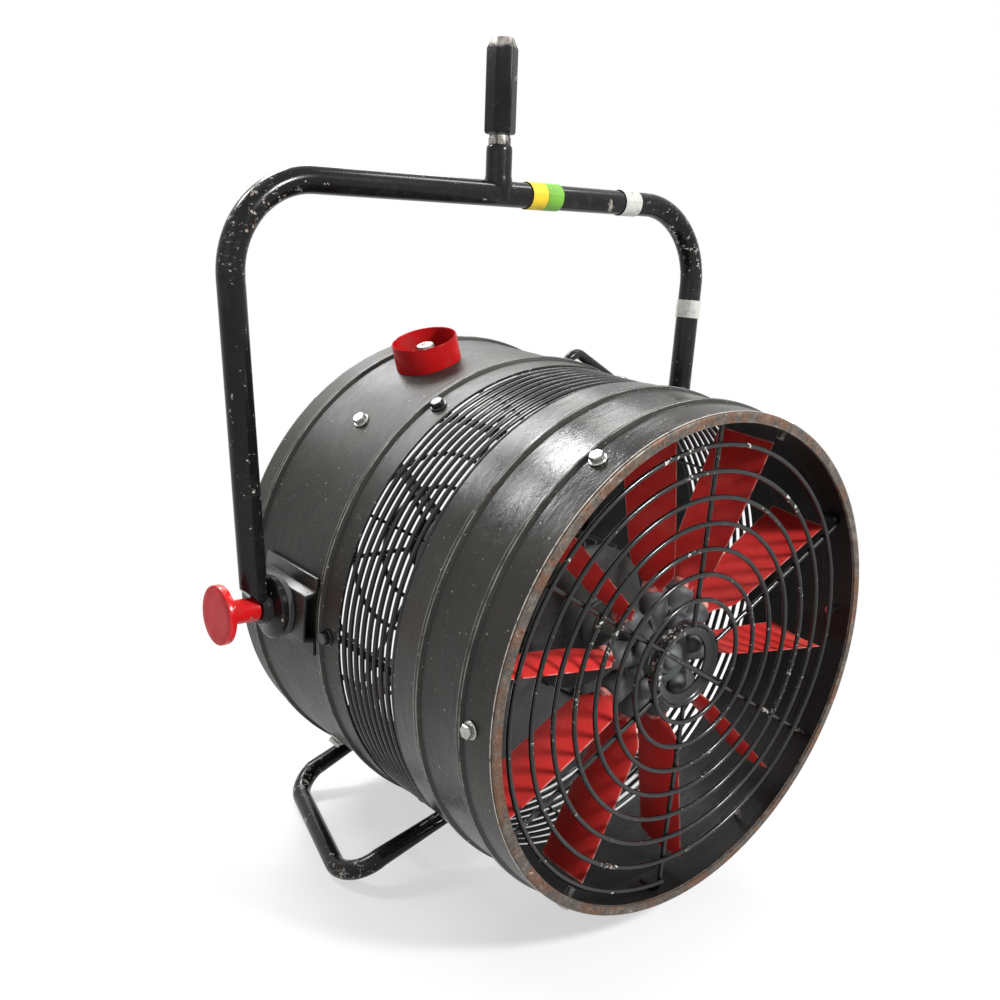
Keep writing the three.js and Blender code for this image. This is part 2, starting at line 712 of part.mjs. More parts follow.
// A hat-section channel that runs along the drum and carries the pivot nut in its crown.
function pivotBracket(side) {
  const crown = BRACKET_CROWN;
  const under = crown - BRACKET_SHEET;
  const hat = new THREE.Shape();
  hat.moveTo(222, -37.5);
  hat.lineTo(232, -37.5);
  hat.lineTo(232, -24);
  hat.lineTo(crown, -22.5);
  hat.lineTo(crown, 22.5);
  hat.lineTo(232, 24);
  hat.lineTo(232, 37.5);
  hat.lineTo(222, 37.5);
  hat.lineTo(222, 20);
  hat.lineTo(under, 19.5);
  hat.lineTo(under, -19.5);
  hat.lineTo(222, -20);
  const shape = new THREE.ExtrudeGeometry(hat, { depth: BRACKET_LENGTH, bevelEnabled: false });
  const place = new THREE.Matrix4().makeRotationX(Math.PI / 2);
  place.setPosition(0, station(BRACKET_END), 0);
  if (side < 0) place.premultiply(new THREE.Matrix4().makeRotationZ(Math.PI));
  if (side < 0) place.setPosition(0, station(BRACKET_END - BRACKET_LENGTH), 0);
  const screwHole = rod(v3(side * 200, station(PIVOT_STATION), 0),
    v3(side * 260, station(PIVOT_STATION), 0), 6.5, 10);
  return cut(solidOf(shape, place), drumSpace(DRUM_RADIUS + SEAT_GAP), screwHole);
}

function makePivot(word, side) {
  const axis = v3(side, 0, 0);
  const centre = v3(0, station(PIVOT_STATION), 0);
  piece(`pivot_bracket_${word}`, pivotBracket(side), SATIN_BLACK);

  const nutFace = BRACKET_CROWN - BRACKET_SHEET - SEAT_GAP;
  const nut = rod(v3(side * (nutFace - 7), centre.y, 0), v3(side * nutFace, centre.y, 0), 10, 6);
  const nutHole = rod(v3(side * 225, centre.y, 0), v3(side * 250, centre.y, 0), 6.3, 10);
  piece(`pivot_nut_${word}`, cut(nut, nutHole), ZINC);

  const discFace = BRACKET_CROWN + SEAT_GAP;
  const discBack = discFace + DISC_THICKNESS;
  const friction = turned([[0, discFace], [DISC_RADIUS - 1, discFace],
    [DISC_RADIUS, discFace + 1], [DISC_RADIUS, discBack], [0, discBack]], 24, centre, axis);
  const discHole = rod(v3(side * 240, centre.y, 0), v3(side * 260, centre.y, 0), 6.5, 10);
  piece(`friction_disc_${word}`, cut(friction, discHole), CAST_GREY);

  const shank = KNOB_FACE - 8;
  const knob = turned([
    [0, 234.8],
    [6, 234.8],
    [6, 270.5],
    [11.2, 270.5],
    [11.2, shank],
    [25.5, shank],
    [27.5, shank + 1.5],
    [27.5, KNOB_FACE - 1.5],
    [26, KNOB_FACE],
    [0, KNOB_FACE],
  ], 24, centre, axis);
  piece(`clamp_knob_${word}`, knob, SIGNAL_RED);
}

// ---------------------------------------------------------------- yoke

const YOKE_FACE = BRACKET_CROWN + 2 * SEAT_GAP + DISC_THICKNESS;

// The eye at the foot of a leg: a round friction face and a boss round the clamp screw.
function yokeEye(side) {
  return turned([
    [0, YOKE_FACE],
    [DISC_RADIUS, YOKE_FACE],
    [DISC_RADIUS, YOKE_FACE + 5.5],
    [DISC_RADIUS - 2, YOKE_FACE + 7],
    [16, YOKE_FACE + 8],
    [15, 270],
    [0, 270],
  ], 24, v3(0, 0, 0), v3(side, 0, 0));
}

function makeYoke() {
  const legs = [-1, 1];
  const corners = [
    v3(-YOKE_PIVOT_HALF, 0, 6),
    v3(-YOKE_TOP_HALF, 0, YOKE_HEIGHT),
    v3(YOKE_TOP_HALF, 0, YOKE_HEIGHT),
    v3(YOKE_PIVOT_HALF, 0, 6),
  ];
  const tube = bentTube(corners, YOKE_TUBE, YOKE_BEND, 7, 12);
  // Each leg is cut off at a slant above its clamp screw.
  const slants = legs.map((side) => {
    const lean = new THREE.Matrix4().makeRotationY(-side * radians(42));
    lean.setPosition(side * 276, 0, 12);
    return block(80, 60, 40, v3(0, 0, -20), lean);
  });
  const clear = legs.map((side) =>
    rod(v3(side * 200, 0, 0), v3(side * YOKE_FACE, 0, 0), 60, 24));
  const stub = turned([[0, YOKE_HEIGHT], [13, YOKE_HEIGHT], [13, SPIGOT_SEAT - 1],
    [12, SPIGOT_SEAT], [0, SPIGOT_SEAT]], 16, v3(0, 0, 0), v3(0, 0, 1));
  const socket = rod(v3(0, 0, SPIGOT_SEAT - 18), v3(0, 0, SPIGOT_SEAT + 5), 8.4, 12);
  const screws = legs.flatMap((side) => [
    rod(v3(side * 200, 0, 0), v3(side * 290, 0, 0), 6.5, 10),
    rod(v3(side * 270, 0, 0), v3(side * 320, 0, 0), 12, 16),
  ]);
  const frame = join(cut(tube, ...slants), ...legs.map(yokeEye), stub);
  piece('yoke', cut(frame, ...clear, ...screws, socket), GLOSS_BLACK, yokeFrame);
}

function makeSpigot() {
  const up = v3(0, 0, 1);
  const seat = SPIGOT_SEAT + SEAT_GAP;
  const neck = turned([[0, SPIGOT_SEAT - 17], [8, SPIGOT_SEAT - 17], [8, seat], [11, seat],
    [11, 444], [0, 444]], 12, v3(0, 0, 0), up);
  const hexagon = rod(v3(0, 0, 442), v3(0, 0, SPIGOT_TOP), 15.8, 6);
  const nose = turned([[0, 441], [14.2, 441], [15.8, 444], [15.8, SPIGOT_TOP - 11],
    [10.5, SPIGOT_TOP], [0, SPIGOT_TOP]], 24, v3(0, 0, 0), up);
  piece('spigot', join(neck, hexagon.intersect(nose)), GLOSS_BLACK, yokeFrame);
}

// A turn of tape round the tube, between two distances along a straight stretch.
function tape(name, from, to, color) {
  const ring = cut(rod(from, to, YOKE_TUBE + 1.3, 12), rod(
    from.clone().lerp(to, -0.5), from.clone().lerp(to, 1.5), YOKE_TUBE + 0.6, 12));
  piece(name, ring, finish(color, 0.5, 0), yokeFrame);
}

function makeTapes() {
  const onBar = (x) => v3(x, 0, YOKE_HEIGHT);
  tape('tape_yellow', onBar(36), onBar(56), 0xe8c21a);
  tape('tape_green', onBar(56.4), onBar(77), 0x6fae2b);
  tape('tape_grey_bar', onBar(168), onBar(192), 0xb9bab6);
  const rise = (YOKE_TOP_HALF - YOKE_PIVOT_HALF) / (YOKE_HEIGHT - 6);
  const onLeg = (z) => v3(YOKE_PIVOT_HALF + rise * (z - 6), 0, z);
  tape('tape_grey_leg', onLeg(262), onLeg(282), 0xb9bab6);
}

makeShells();
makeIntakeCage();
makeFrontGrille();
makeRearGrille();
makeFrontBolts();
makeImpeller();
makeMotor();
makeMotorBracket();
makeButton();
makeHandle();
makeFoot('foot_left', -1);
makeFoot('foot_right', 1);
makePivot('left', -1);
makePivot('right', 1);
makeYoke();
makeSpigot();
makeTapes();

export default group;
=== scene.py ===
import bmesh
import bpy
import math
import random
from mathutils import Matrix, Vector


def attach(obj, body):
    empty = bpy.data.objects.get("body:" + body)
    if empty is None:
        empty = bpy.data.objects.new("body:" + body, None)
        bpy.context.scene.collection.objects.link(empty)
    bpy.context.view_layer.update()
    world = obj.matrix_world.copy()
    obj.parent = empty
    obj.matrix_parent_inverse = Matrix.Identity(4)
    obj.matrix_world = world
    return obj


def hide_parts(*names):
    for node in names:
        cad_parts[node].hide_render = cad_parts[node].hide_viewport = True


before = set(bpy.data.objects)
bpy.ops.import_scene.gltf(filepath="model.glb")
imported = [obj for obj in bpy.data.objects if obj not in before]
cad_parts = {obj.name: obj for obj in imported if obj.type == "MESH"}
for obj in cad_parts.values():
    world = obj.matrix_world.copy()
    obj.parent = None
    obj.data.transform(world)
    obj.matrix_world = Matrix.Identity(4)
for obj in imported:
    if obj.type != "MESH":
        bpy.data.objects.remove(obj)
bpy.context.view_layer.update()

# ---------------- the drum's two shells
# Two rolled bands of 2.5 mm steel sheet, satin black, with beads rolled in to stiffen them.
# The mouths are turned in to a narrow lip, where the enamel has worn through to brown steel.

DRUM_DEPTH = 407
DRUM_RADIUS = 232
SHEET = 2.5
EDGE_ROUND = 3
LIP_WIDTH = 9.5
AXIS = 0.263
ON_AXIS = (0, 0, AXIS)
FRONT_BEADS = [40, 98]
REAR_BEADS = [252, 377]
CAGE_GAP = (133, 221)
ROUNDED_ABOVE, SMOOTH_BELOW = math.radians(28), math.radians(38)
ENAMEL = (0.0118, 0.0108, 0.0088)
PRIMER = (0.33, 0.32, 0.3)
BARE_STEEL = (0.155, 0.132, 0.108)
RUST = (0.15, 0.06, 0.027)
CHIP = (0.42, 0.4, 0.37)


class Link:
    """A value on its way through a node tree: arithmetic on it adds Math nodes."""

    def __init__(self, graph, socket):
        self.graph, self.socket = graph, socket

    def math(self, operation, *others):
        return self.graph.node("ShaderNodeMath", dict(enumerate((self, *others))),
                               operation=operation)

    def __add__(self, other):
        return self.math("ADD", other)

    def __sub__(self, other):
        return self.math("SUBTRACT", other)

    def __rsub__(self, other):
        return self * -1 + other

    def __mul__(self, other):
        return self.math("MULTIPLY", other)

    def __pow__(self, other):
        return self.math("POWER", other)

    def __abs__(self):
        return self.math("ABSOLUTE")

    def ramp(self, low, high):
        """0 below low, 1 above high and smooth between them; high may lie below low."""
        return self.graph.node("ShaderNodeMapRange", {
            "Value": self, "From Min": low, "From Max": high}, interpolation_type="SMOOTHSTEP")


class Graph:
    """A node tree under construction."""

    def __init__(self, tree):
        self.tree = tree

    def node(self, kind, sockets=None, out=0, **settings):
        """Adds a node, sets it up, then feeds its sockets with values or links."""
        added = self.tree.nodes.new(kind)
        for key, value in settings.items():
            setattr(added, key, value)
        for key, value in (sockets or {}).items():
            self.feed(added.inputs[key], value)
        return Link(self, added.outputs[out])

    def feed(self, socket, value):
        """Feeds a socket with a link or a value. A colour comes without its alpha."""
        if isinstance(value, Link):
            self.tree.links.new(value.socket, socket)
        else:
            socket.default_value = (*value, 1) if socket.type == "RGBA" else value

    def mix(self, factor, below, above):
        return self.node("ShaderNodeMix", {0: factor, 6: below, 7: above}, out=2,
                         data_type="RGBA")


class Finish(Graph):
    """A surface finish on Object coordinates, which are this part's own metres."""

    def __init__(self, name, **constants):
        self.material = bpy.data.materials.new(name)
        self.material.use_nodes = True
        super().__init__(self.material.node_tree)
        self.shader = self.tree.nodes["Principled BSDF"]
        self.set(**constants)
        self.here = self.node("ShaderNodeTexCoord", out="Object")

    def set(self, **inputs):
        """Feeds the shader's inputs. An underscore stands for the space in a name."""
        for key, value in inputs.items():
            self.feed(self.shader.inputs[key.replace("_", " ")], value)

    def noise(self, scale, detail=4, roughness=0.6, stretch=(1, 1, 1), offset=0.0):
        where = self.node("ShaderNodeMapping", {
            "Vector": self.here, "Scale": stretch, "Location": (offset, offset, offset)})
        return self.node("ShaderNodeTexNoise", {
            "Vector": where, "Scale": scale, "Detail": detail, "Roughness": roughness})

    def hairlines(self, scale, width, stretch, turn=(0, 0, 0)):
        """Thin scratches: the seams of long cells, kept only where a slow noise allows."""
        where = self.node("ShaderNodeMapping", {
            "Vector": self.here, "Scale": stretch, "Rotation": turn})
        seams = self.node("ShaderNodeTexVoronoi", {"Vector": where, "Scale": scale},
                          feature="DISTANCE_TO_EDGE")
        return seams.ramp(width, width * 0.3) * self.noise(14, 3, offset=7.3).ramp(0.52, 0.6)

    def place(self):
        """The X, Y and Z of a point."""
        split = self.node("ShaderNodeSeparateXYZ", {0: self.here}).socket.node
        return [Link(self, split.outputs[i]) for i in range(3)]

    def along(self, direction):
        """How far a point lies along a direction from the origin."""
        return self.node("ShaderNodeVectorMath", {0: self.here, 1: direction}, out="Value",
                         operation="DOT_PRODUCT")

    def near(self, place, inner, outer):
        """1 within the inner distance of a place, falling to 0 at the outer distance. With an
        outer distance below the inner one it is 0 near the place and 1 far from it."""
        away = self.node("ShaderNodeVectorMath", {0: self.here, 1: place}, out="Value",
                         operation="DISTANCE")
        return away.ramp(outer, inner)

    def surface(self, colour, roughness, height=None, depth=0.0003, **more):
        self.set(Base_Color=colour, Roughness=roughness, **more)
        if height is not None:
            self.set(Normal=self.node("ShaderNodeBump", {
                "Height": height, "Strength": 1.0, "Distance": depth}))
        return self.material


def tinted(colour, factor, lift=0.0):
    return tuple(min(1.0, c * factor + lift) for c in colour)


def enamel(name, paint, wear=None, gloss=0.36, chips=0.69, undercoat=PRIMER, grit=92,
           **constants):
    """Enamel on steel: cloudy, finely scratched, chipped to its undercoat, rusty at the edges.
    wear is a function of the finish that gives 1 where the enamel has had hard use."""
    finish = Finish(name, **constants)
    use = wear(finish) if wear else 0.0
    cloud = finish.noise(7, 5, 0.65)
    grime = finish.noise(38, 6, 0.7, offset=3.1)
    colour = finish.mix(cloud.ramp(0.3, 0.72), tinted(paint, 0.7), tinted(paint, 1.45, 0.004))
    colour = finish.mix(grime.ramp(0.54, 0.76) * 0.3, colour, (0.055, 0.051, 0.045))
    scratch = finish.hairlines(26, 0.006, (1, 2.4, 5.5)) + finish.hairlines(
        31, 0.005, (4.5, 1, 1.7), (0.5, 0.2, 0.9))
    colour = finish.mix(scratch * 0.12, colour, (0.19, 0.185, 0.175))
    spots = finish.noise(grit, 7, 0.72, offset=1.7) + use * 0.21
    bare = spots.ramp(chips, chips + 0.025)
    under = finish.mix(finish.noise(160, 3, offset=5.2).ramp(0.5, 0.66), undercoat, RUST)
    colour = finish.mix(bare, colour, under)
    roughness = cloud.ramp(0.3, 0.7) * 0.1 + grime * 0.14 + bare * 0.25 + (gloss - 0.12)
    height = (finish.noise(420, 3) * 0.12 + finish.noise(120, 4, offset=8.8) * 0.35
              - bare * 0.9 - scratch * 0.2 + cloud * 0.2)
    return finish, colour, roughness, height


def mm_station(behind_rim):
    """Y in millimetres of a place so many millimetres behind the front rim."""
    return behind_rim - DRUM_DEPTH / 2


def station(behind_rim):
    return mm_station(behind_rim) / 1000


def turned(profile, seat, axis, segments=64, loop=False):
    """A mesh turned about a line from a seat in metres. The profile is pairs of radius and
    distance along the line, in millimetres, and is closed on itself where loop is true."""
    place = Matrix.Translation(seat) @ Vector(axis).to_track_quat("Z", "Y").to_matrix().to_4x4()
    mesh = bmesh.new()
    rings = []
    for step in range(segments):
        angle = 2 * math.pi * step / segments
        across = Vector((math.cos(angle), math.sin(angle), 0)) / 1000
        rings.append([mesh.verts.new(place @ (across * r + Vector((0, 0, h / 1000))))
                      for r, h in profile])
    count = len(profile)
    for step in range(segments):
        here, there = rings[step], rings[(step + 1) % segments]
        for k in range(count if loop else count - 1):
            after = (k + 1) % count
            mesh.faces.new((here[k], there[k], there[after], here[after]))
    bmesh.ops.remove_doubles(mesh, verts=mesh.verts, dist=1e-6)
    bmesh.ops.recalc_face_normals(mesh, faces=mesh.faces)
    return mesh


def round_drum(profile, segments=96, loop=False):
    """A mesh turned about the drum's axis, from pairs of radius and station."""
    return turned([(r, mm_station(y)) for r, y in profile], ON_AXIS, (0, 1, 0), segments, loop)


def joined(*meshes):
    """Several meshes as one; each keeps its own closed skin."""
    whole = bmesh.new()
    for mesh in meshes:
        data = bpy.data.meshes.new("part")
        mesh.to_mesh(data)
        mesh.free()
        whole.from_mesh(data)
        bpy.data.meshes.remove(data)
    return whole


def placed(name, mesh):
    """Puts a bmesh in the scene as an object at the origin."""
    data = bpy.data.meshes.new(name)
    mesh.to_mesh(data)
    mesh.free()
    piece = bpy.data.objects.new(name, data)
    bpy.context.collection.objects.link(piece)
    return piece


def settle(piece):
    """Replaces a piece's mesh by what its modifiers make of it, and takes them off."""
    evaluated = piece.evaluated_get(bpy.context.evaluated_depsgraph_get())
    piece.data = bpy.data.meshes.new_from_object(evaluated)
    piece.modifiers.clear()


def smooth(piece):
    piece.data.shade_smooth()
    piece.data.set_sharp_from_angle(angle=SMOOTH_BELOW)
    return piece


def made(name, mesh, material, bevel=0.0):
    """Turns a bmesh into a piece with its edges rounded and its broad faces smooth."""
    piece = placed(name, mesh)
    piece.data.materials.append(material)
    if bevel:
        rounding = piece.modifiers.new("rounding", "BEVEL")
        rounding.width, rounding.segments = bevel / 1000, 2
        rounding.limit_method, rounding.angle_limit = "ANGLE", ROUNDED_ABOVE
        settle(piece)
    return smooth(piece)


def fit(piece, body, slot, *nodes):
    """Hangs a finished piece on its body in place of the CAD nodes that it stands for."""
    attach(piece, body)
    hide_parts(*nodes)


def mirrored(half):
    """Half an outline and its mirror image, as one run of points."""
    return half + [(r, -across) for r, across in half[::-1]]


def bead(middle):
    """The outer line of a rolled bead, 11 mm wide and 3.3 mm proud, with steep flanks."""
    flank = [(0, -5.5), (0.1, -4.9), (0.5, -4.4), (2.7, -2.7), (3.15, -2.1), (3.3, -1.4)]
    return [(DRUM_RADIUS + rise, middle + off) for rise, off in mirrored(flank)]


def drum_profile(mouth, inner_end, beads):
    """The sheet's section: in along the lip at the mouth, round the edge and along the drum."""
    into = 1 if inner_end > mouth else -1

    def arc(radius, angles):
        return [(DRUM_RADIUS - EDGE_ROUND + radius * math.sin(a),
                 mouth + into * (EDGE_ROUND - radius * math.cos(a))) for a in angles]

    ridges = [p for middle in beads[::into] for p in bead(middle)[::into]]
    lip = [(DRUM_RADIUS - LIP_WIDTH, mouth + into * SHEET), (DRUM_RADIUS - LIP_WIDTH, mouth)]
    end = [(DRUM_RADIUS, inner_end), (DRUM_RADIUS - SHEET, inner_end)]
    return (arc(EDGE_ROUND, (0, 0.35, 0.8, 1.2, math.pi / 2)) + ridges + end
            + arc(EDGE_ROUND - SHEET, (math.pi / 2, 0.8, 0)) + lip)


def off_bead(y):
    """How far along the drum a point lies from the middle of the nearest bead."""
    nearest, *others = (abs(y - station(middle)) for middle in FRONT_BEADS + REAR_BEADS)
    for off in others:
        nearest = nearest.math("MINIMUM", off)
    return nearest


def shell_finish(name, mouth, seam, gloss):
    """The shells' enamel: bare and rusty over the lip, rubbed along the beads, scuffed, with pale
    crest lines of rubbed paint and painted highlight, painted shade in the beads' creases and a
    near-black inside as painted shade.
    """
    def wear(finish):
        y = finish.place()[1]
        return (abs(y - station(seam)).ramp(0.006, 0.0) * 0.32
                + off_bead(y).ramp(0.004, 0.001) * 0.2)

    finish, colour, roughness, height = enamel(
        name, ENAMEL, wear, gloss=gloss, chips=0.66, grit=210, Specular_IOR_Level=0.3)
    x, y, z = finish.place()
    level = z - AXIS
    r = (x * x + level * level) ** 0.5
    depth = abs(y - station(mouth))
    ragged = finish.noise(60, 6, 0.75, offset=2.2) * 0.006
    lip = (depth + ragged).ramp(0.0078, 0.0042)
    scuff = finish.noise(11, 6, 0.72, offset=12.0).ramp(0.42, 0.66)
    colour = finish.mix(scuff * 0.3, colour, (0.034, 0.031, 0.026))
    dots = finish.noise(300, 2, 0.5, offset=15.0).ramp(0.735, 0.755)
    colour = finish.mix(dots, colour, CHIP)
    mottled = finish.noise(130, 6, 0.8, offset=4.4)
    streaks = finish.noise(34, 6, 0.78, offset=6.2)
    steel = finish.mix(mottled.ramp(0.4, 0.64), (0.075, 0.066, 0.058), BARE_STEEL)
    steel = finish.mix(streaks.ramp(0.47, 0.56) * 0.6, steel, RUST)
    specks = finish.noise(330, 4, 0.7, offset=9.1)
    steel = finish.mix(specks.ramp(0.56, 0.62) * 0.8, steel, (0.03, 0.021, 0.015))
    steel = finish.mix(mottled.ramp(0.62, 0.66) * 0.8, steel, CHIP)
    off = off_bead(y)
    # Pale lines along each bead's crest edges: partly rubbed paint, partly a painted highlight
    # where the flank catches the light.
    crest_highlight_and_rub = abs(off - 0.0019).ramp(0.0007, 0.0001)
    # A near-black line at each bead's foot is painted shade in the crease.
    crease_shade = abs(off - 0.0049).ramp(0.0009, 0.0002)
    rubbed = finish.noise(40, 5, 0.7, offset=3.3).ramp(0.35, 0.6)
    colour = finish.mix(crest_highlight_and_rub * (rubbed * 0.7 + 0.06), colour, (0.36, 0.35, 0.33))
    colour = finish.mix(crease_shade * 0.7, colour, (0.002, 0.002, 0.002))
    # The drum's inner surface is painted near-black: painted shade inside the drum.
    inside = r.ramp(0.2309, 0.2303)
    colour = finish.mix(inside * 0.85, colour, (0.003, 0.003, 0.003))
    colour = finish.mix(lip, colour, steel)
    edge = abs(depth - 0.0027).ramp(0.0006, 0.0002) * mottled.ramp(0.36, 0.5)
    colour = finish.mix(edge, colour, (0.55, 0.52, 0.47))
    groove = abs(depth - 0.0015).ramp(0.0005, 0.0001) * r.ramp(0.2285, 0.2295)
    colour = finish.mix(groove * 0.8, colour, (0.01, 0.009, 0.008))
    ripple = finish.noise(45, 5, 0.6, stretch=(1, 2.6, 1), offset=4.1)
    return finish.surface(colour, roughness + lip * 0.16 + inside * 0.2 + ripple * 0.12 - 0.06,
                          height + ripple * 1.7 - lip * 0.5, Metallic=lip * 0.45)


for word, mouth, seam, beads, gloss in (("front", 0, CAGE_GAP[0], FRONT_BEADS, 0.27),
                                        ("rear", DRUM_DEPTH, CAGE_GAP[1], REAR_BEADS, 0.46)):
    sheet = round_drum(drum_profile(mouth, seam, beads), 288, loop=True)
    paint = shell_finish(f"{word} enamel", mouth, seam, gloss)
    fit(made(f"{word}_shell_sheet", sheet, paint), "drum", "shell_black", f"{word}_shell")

# ---------------- the intake cage
# Nine wire hoops welded on thin twin stays that run from shell to shell and carry the bolts.
# The wire is dipped in glossy black and chipped to white where it is knocked.

CAGE_HOOPS = 9
CAGE_RADIUS = 228.6
CAGE_WIRE = 0.0023
FIXINGS = 6
FIXING_ANGLE = 3.0
WIRE_COAT = (0.006, 0.006, 0.0062)


class Growth(Graph):
    """A geometry tree with named sizes, which ends in Realize Instances and Set Material."""

    def __init__(self, name):
        super().__init__(bpy.data.node_groups.new(name, "GeometryNodeTree"))
        sockets = self.tree.interface
        sockets.new_socket("Geometry", in_out="INPUT", socket_type="NodeSocketGeometry")
        sockets.new_socket("Geometry", in_out="OUTPUT", socket_type="NodeSocketGeometry")
        self.inlet = self.tree.nodes.new("NodeGroupInput")
        self.base = Link(self, self.inlet.outputs[0])

    def size(self, name, default):
        kind = "NodeSocketInt" if isinstance(default, int) else "NodeSocketFloat"
        socket = self.tree.interface.new_socket(name, in_out="INPUT", socket_type=kind)
        socket.default_value = default
        return Link(self, self.inlet.outputs[name])

    def shape(self, kind, **sockets):
        """A geometry node. An underscore stands for the space in a socket's name."""
        return self.node("GeometryNode" + kind, {
            key.replace("_", " "): value for key, value in sockets.items()})

    def vector(self, x=0.0, y=0.0, z=0.0):
        return self.node("ShaderNodeCombineXYZ", {"X": x, "Y": y, "Z": z})

    def swept(self, route, radius, sides):
        """A round wire along a curve."""
        circle = self.shape("CurvePrimitiveCircle", Resolution=sides, Radius=radius)
        return self.shape("CurveToMesh", Curve=route, Profile_Curve=circle, Fill_Caps=True)

    def turns_of(self, first, step):
        """Each copy's turn about the drum's axis, from +X towards +Z, in radians."""
        return (self.shape("InputIndex") * step + first) * (-math.pi / 180)

    def on_the_axis(self, shape, copies, first, step):
        """Copies of a shape turned round the drum's axis."""
        points = self.shape("MeshLine", Count=copies, Offset=(0, 0, 0), Start_Location=ON_AXIS)
        return self.shape("InstanceOnPoints", Points=points, Instance=shape,
                          Rotation=self.vector(y=self.turns_of(first, step)))

    def end(self, shape, material):
        real = self.shape("RealizeInstances", Geometry=shape)
        coated = self.shape("SetMaterial", Geometry=real, Material=material)
        self.feed(self.tree.nodes.new("NodeGroupOutput").inputs[0], coated)
        return self.tree


def grow(name, tree, mesh, **sizes):
    """Runs a geometry tree on a mesh and keeps the plain result as a piece."""
    piece = placed(name, mesh)
    growth = piece.modifiers.new("growth", "NODES")
    growth.node_group = tree
    for item in tree.interface.items_tree:
        key = item.name.replace(" ", "_").lower()
        if item.in_out == "INPUT" and key in sizes:
            growth[item.identifier] = sizes[key]
    settle(piece)
    return smooth(piece)


def hoops_tree(material):
    """Hoops about the drum's axis, evenly spaced along it and evenly growing in radius."""
    growth = Growth("wire_hoops")
    count = growth.size("Hoops", 7)
    first, step = growth.size("First radius", 0.066), growth.size("Radius step", 0.0)
    start, pitch = growth.size("Start", 0.0), growth.size("Pitch", 0.0)
    wire = growth.size("Wire", 0.0026)
    points = growth.shape("MeshLine", Count=count, Start_Location=growth.vector(0, start, AXIS),
                          Offset=growth.vector(0, pitch, 0))
    radius = growth.shape("InputIndex") * step + first
    circle = growth.shape("CurvePrimitiveCircle", Resolution=200, Radius=1.0)
    hoops = growth.shape("InstanceOnPoints", Points=points, Instance=circle,
                         Rotation=(math.pi / 2, 0, 0),
                         Scale=growth.vector(radius, radius, radius))
    curves = growth.shape("RealizeInstances", Geometry=hoops)
    return growth.end(growth.swept(curves, wire, 10), material)


def bent_bar_tree(material, sides=12):
    """A round bar bent along the base mesh's corners, and repeated about the drum's axis."""
    growth = Growth("bent_bar")
    thickness, bend = growth.size("Thickness", 0.0026), growth.size("Bend", 0.008)
    steps = growth.size("Bend steps", 8)
    copies, first = growth.size("Copies", 1), growth.size("First angle", 0.0)
    step = growth.size("Angle step", 60.0)
    route = growth.shape("MeshToCurve", Mesh=growth.base)
    eased = growth.node("GeometryNodeFilletCurve", {
        "Curve": route, "Count": steps, "Radius": bend}, mode="POLY")
    bar = growth.swept(eased, thickness, sides)
    return growth.end(growth.on_the_axis(bar, copies, first, step), material)


def around_tree(material):
    """The base mesh, repeated about the drum's axis."""
    growth = Growth("ring_of_copies")
    copies, first = growth.size("Copies", 6), growth.size("First angle", 0.0)
    step = growth.size("Angle step", 60.0)
    return growth.end(growth.on_the_axis(growth.base, copies, first, step), material)


def route_of(*corners):
    """A line through corners in millimetres, from the drum's axis, as the base of a bar."""
    mesh = bmesh.new()
    points = [mesh.verts.new(Vector(c) / 1000) for c in corners]
    for one, other in zip(points, points[1:]):
        mesh.edges.new((one, other))
    return mesh


def route_along(radius, start, end):
    """The base of a straight bar along the drum, from one station to another."""
    return route_of((radius, mm_station(start), 0), (radius, mm_station(end), 0))


def merged(name, *pieces):
    """Several objects as one piece that keeps their materials."""
    with bpy.context.temp_override(active_object=pieces[0], selected_editable_objects=pieces,
                                   selected_objects=pieces):
        bpy.ops.object.join()
    pieces[0].name = pieces[0].data.name = name
    return pieces[0]


def coated_wire(name, wear=None, chips=0.72):
    finish, colour, roughness, height = enamel(
        name, WIRE_COAT, wear, gloss=0.24, chips=chips, undercoat=(0.55, 0.54, 0.5), grit=190,
        Specular_IOR_Level=0.24, Coat_Weight=0.3, Coat_Roughness=0.1)
    return finish.surface(colour, roughness, height, 0.0002)


def skin(mesh, rings):
    """Covers rings of vertices, each joined to the next, and closes both ends."""
    for low, high in zip(rings, rings[1:]):
        for k in range(len(low)):
            after = (k + 1) % len(low)
            mesh.faces.new((low[k], low[after], high[after], high[k]))
    mesh.faces.new(rings[0][::-1])
    mesh.faces.new(rings[-1])
    bmesh.ops.recalc_face_normals(mesh, faces=mesh.faces)
    return mesh


def hexagon(size):
    return [(size * math.cos(math.pi / 3 * k), size * math.sin(math.pi / 3 * k))
            for k in range(6)]


def flange_bolt(behind_rim, shank=6):
    """A hexagon bolt with a washer face, at angle 0 on the drum and pointing out along +X."""
    seat = DRUM_RADIUS + 0.2
    head = bmesh.new()
    skin(head, [[head.verts.new(((seat + level) / 1000, station(behind_rim) + y / 1000,
                                 z / 1000)) for y, z in hexagon(size)]
                for level, size in ((1.6, 6.0), (2.4, 6.4), (6.0, 6.4), (6.8, 5.7))])
    washer = turned([(0, -shank), (3.8, -shank), (3.8, 0), (7.9, 0.3), (7.9, 1.2), (7.3, 1.9),
                     (0, 2.1)], (seat / 1000, station(behind_rim), 0), (1, 0, 0), 28)
    return joined(washer, head)


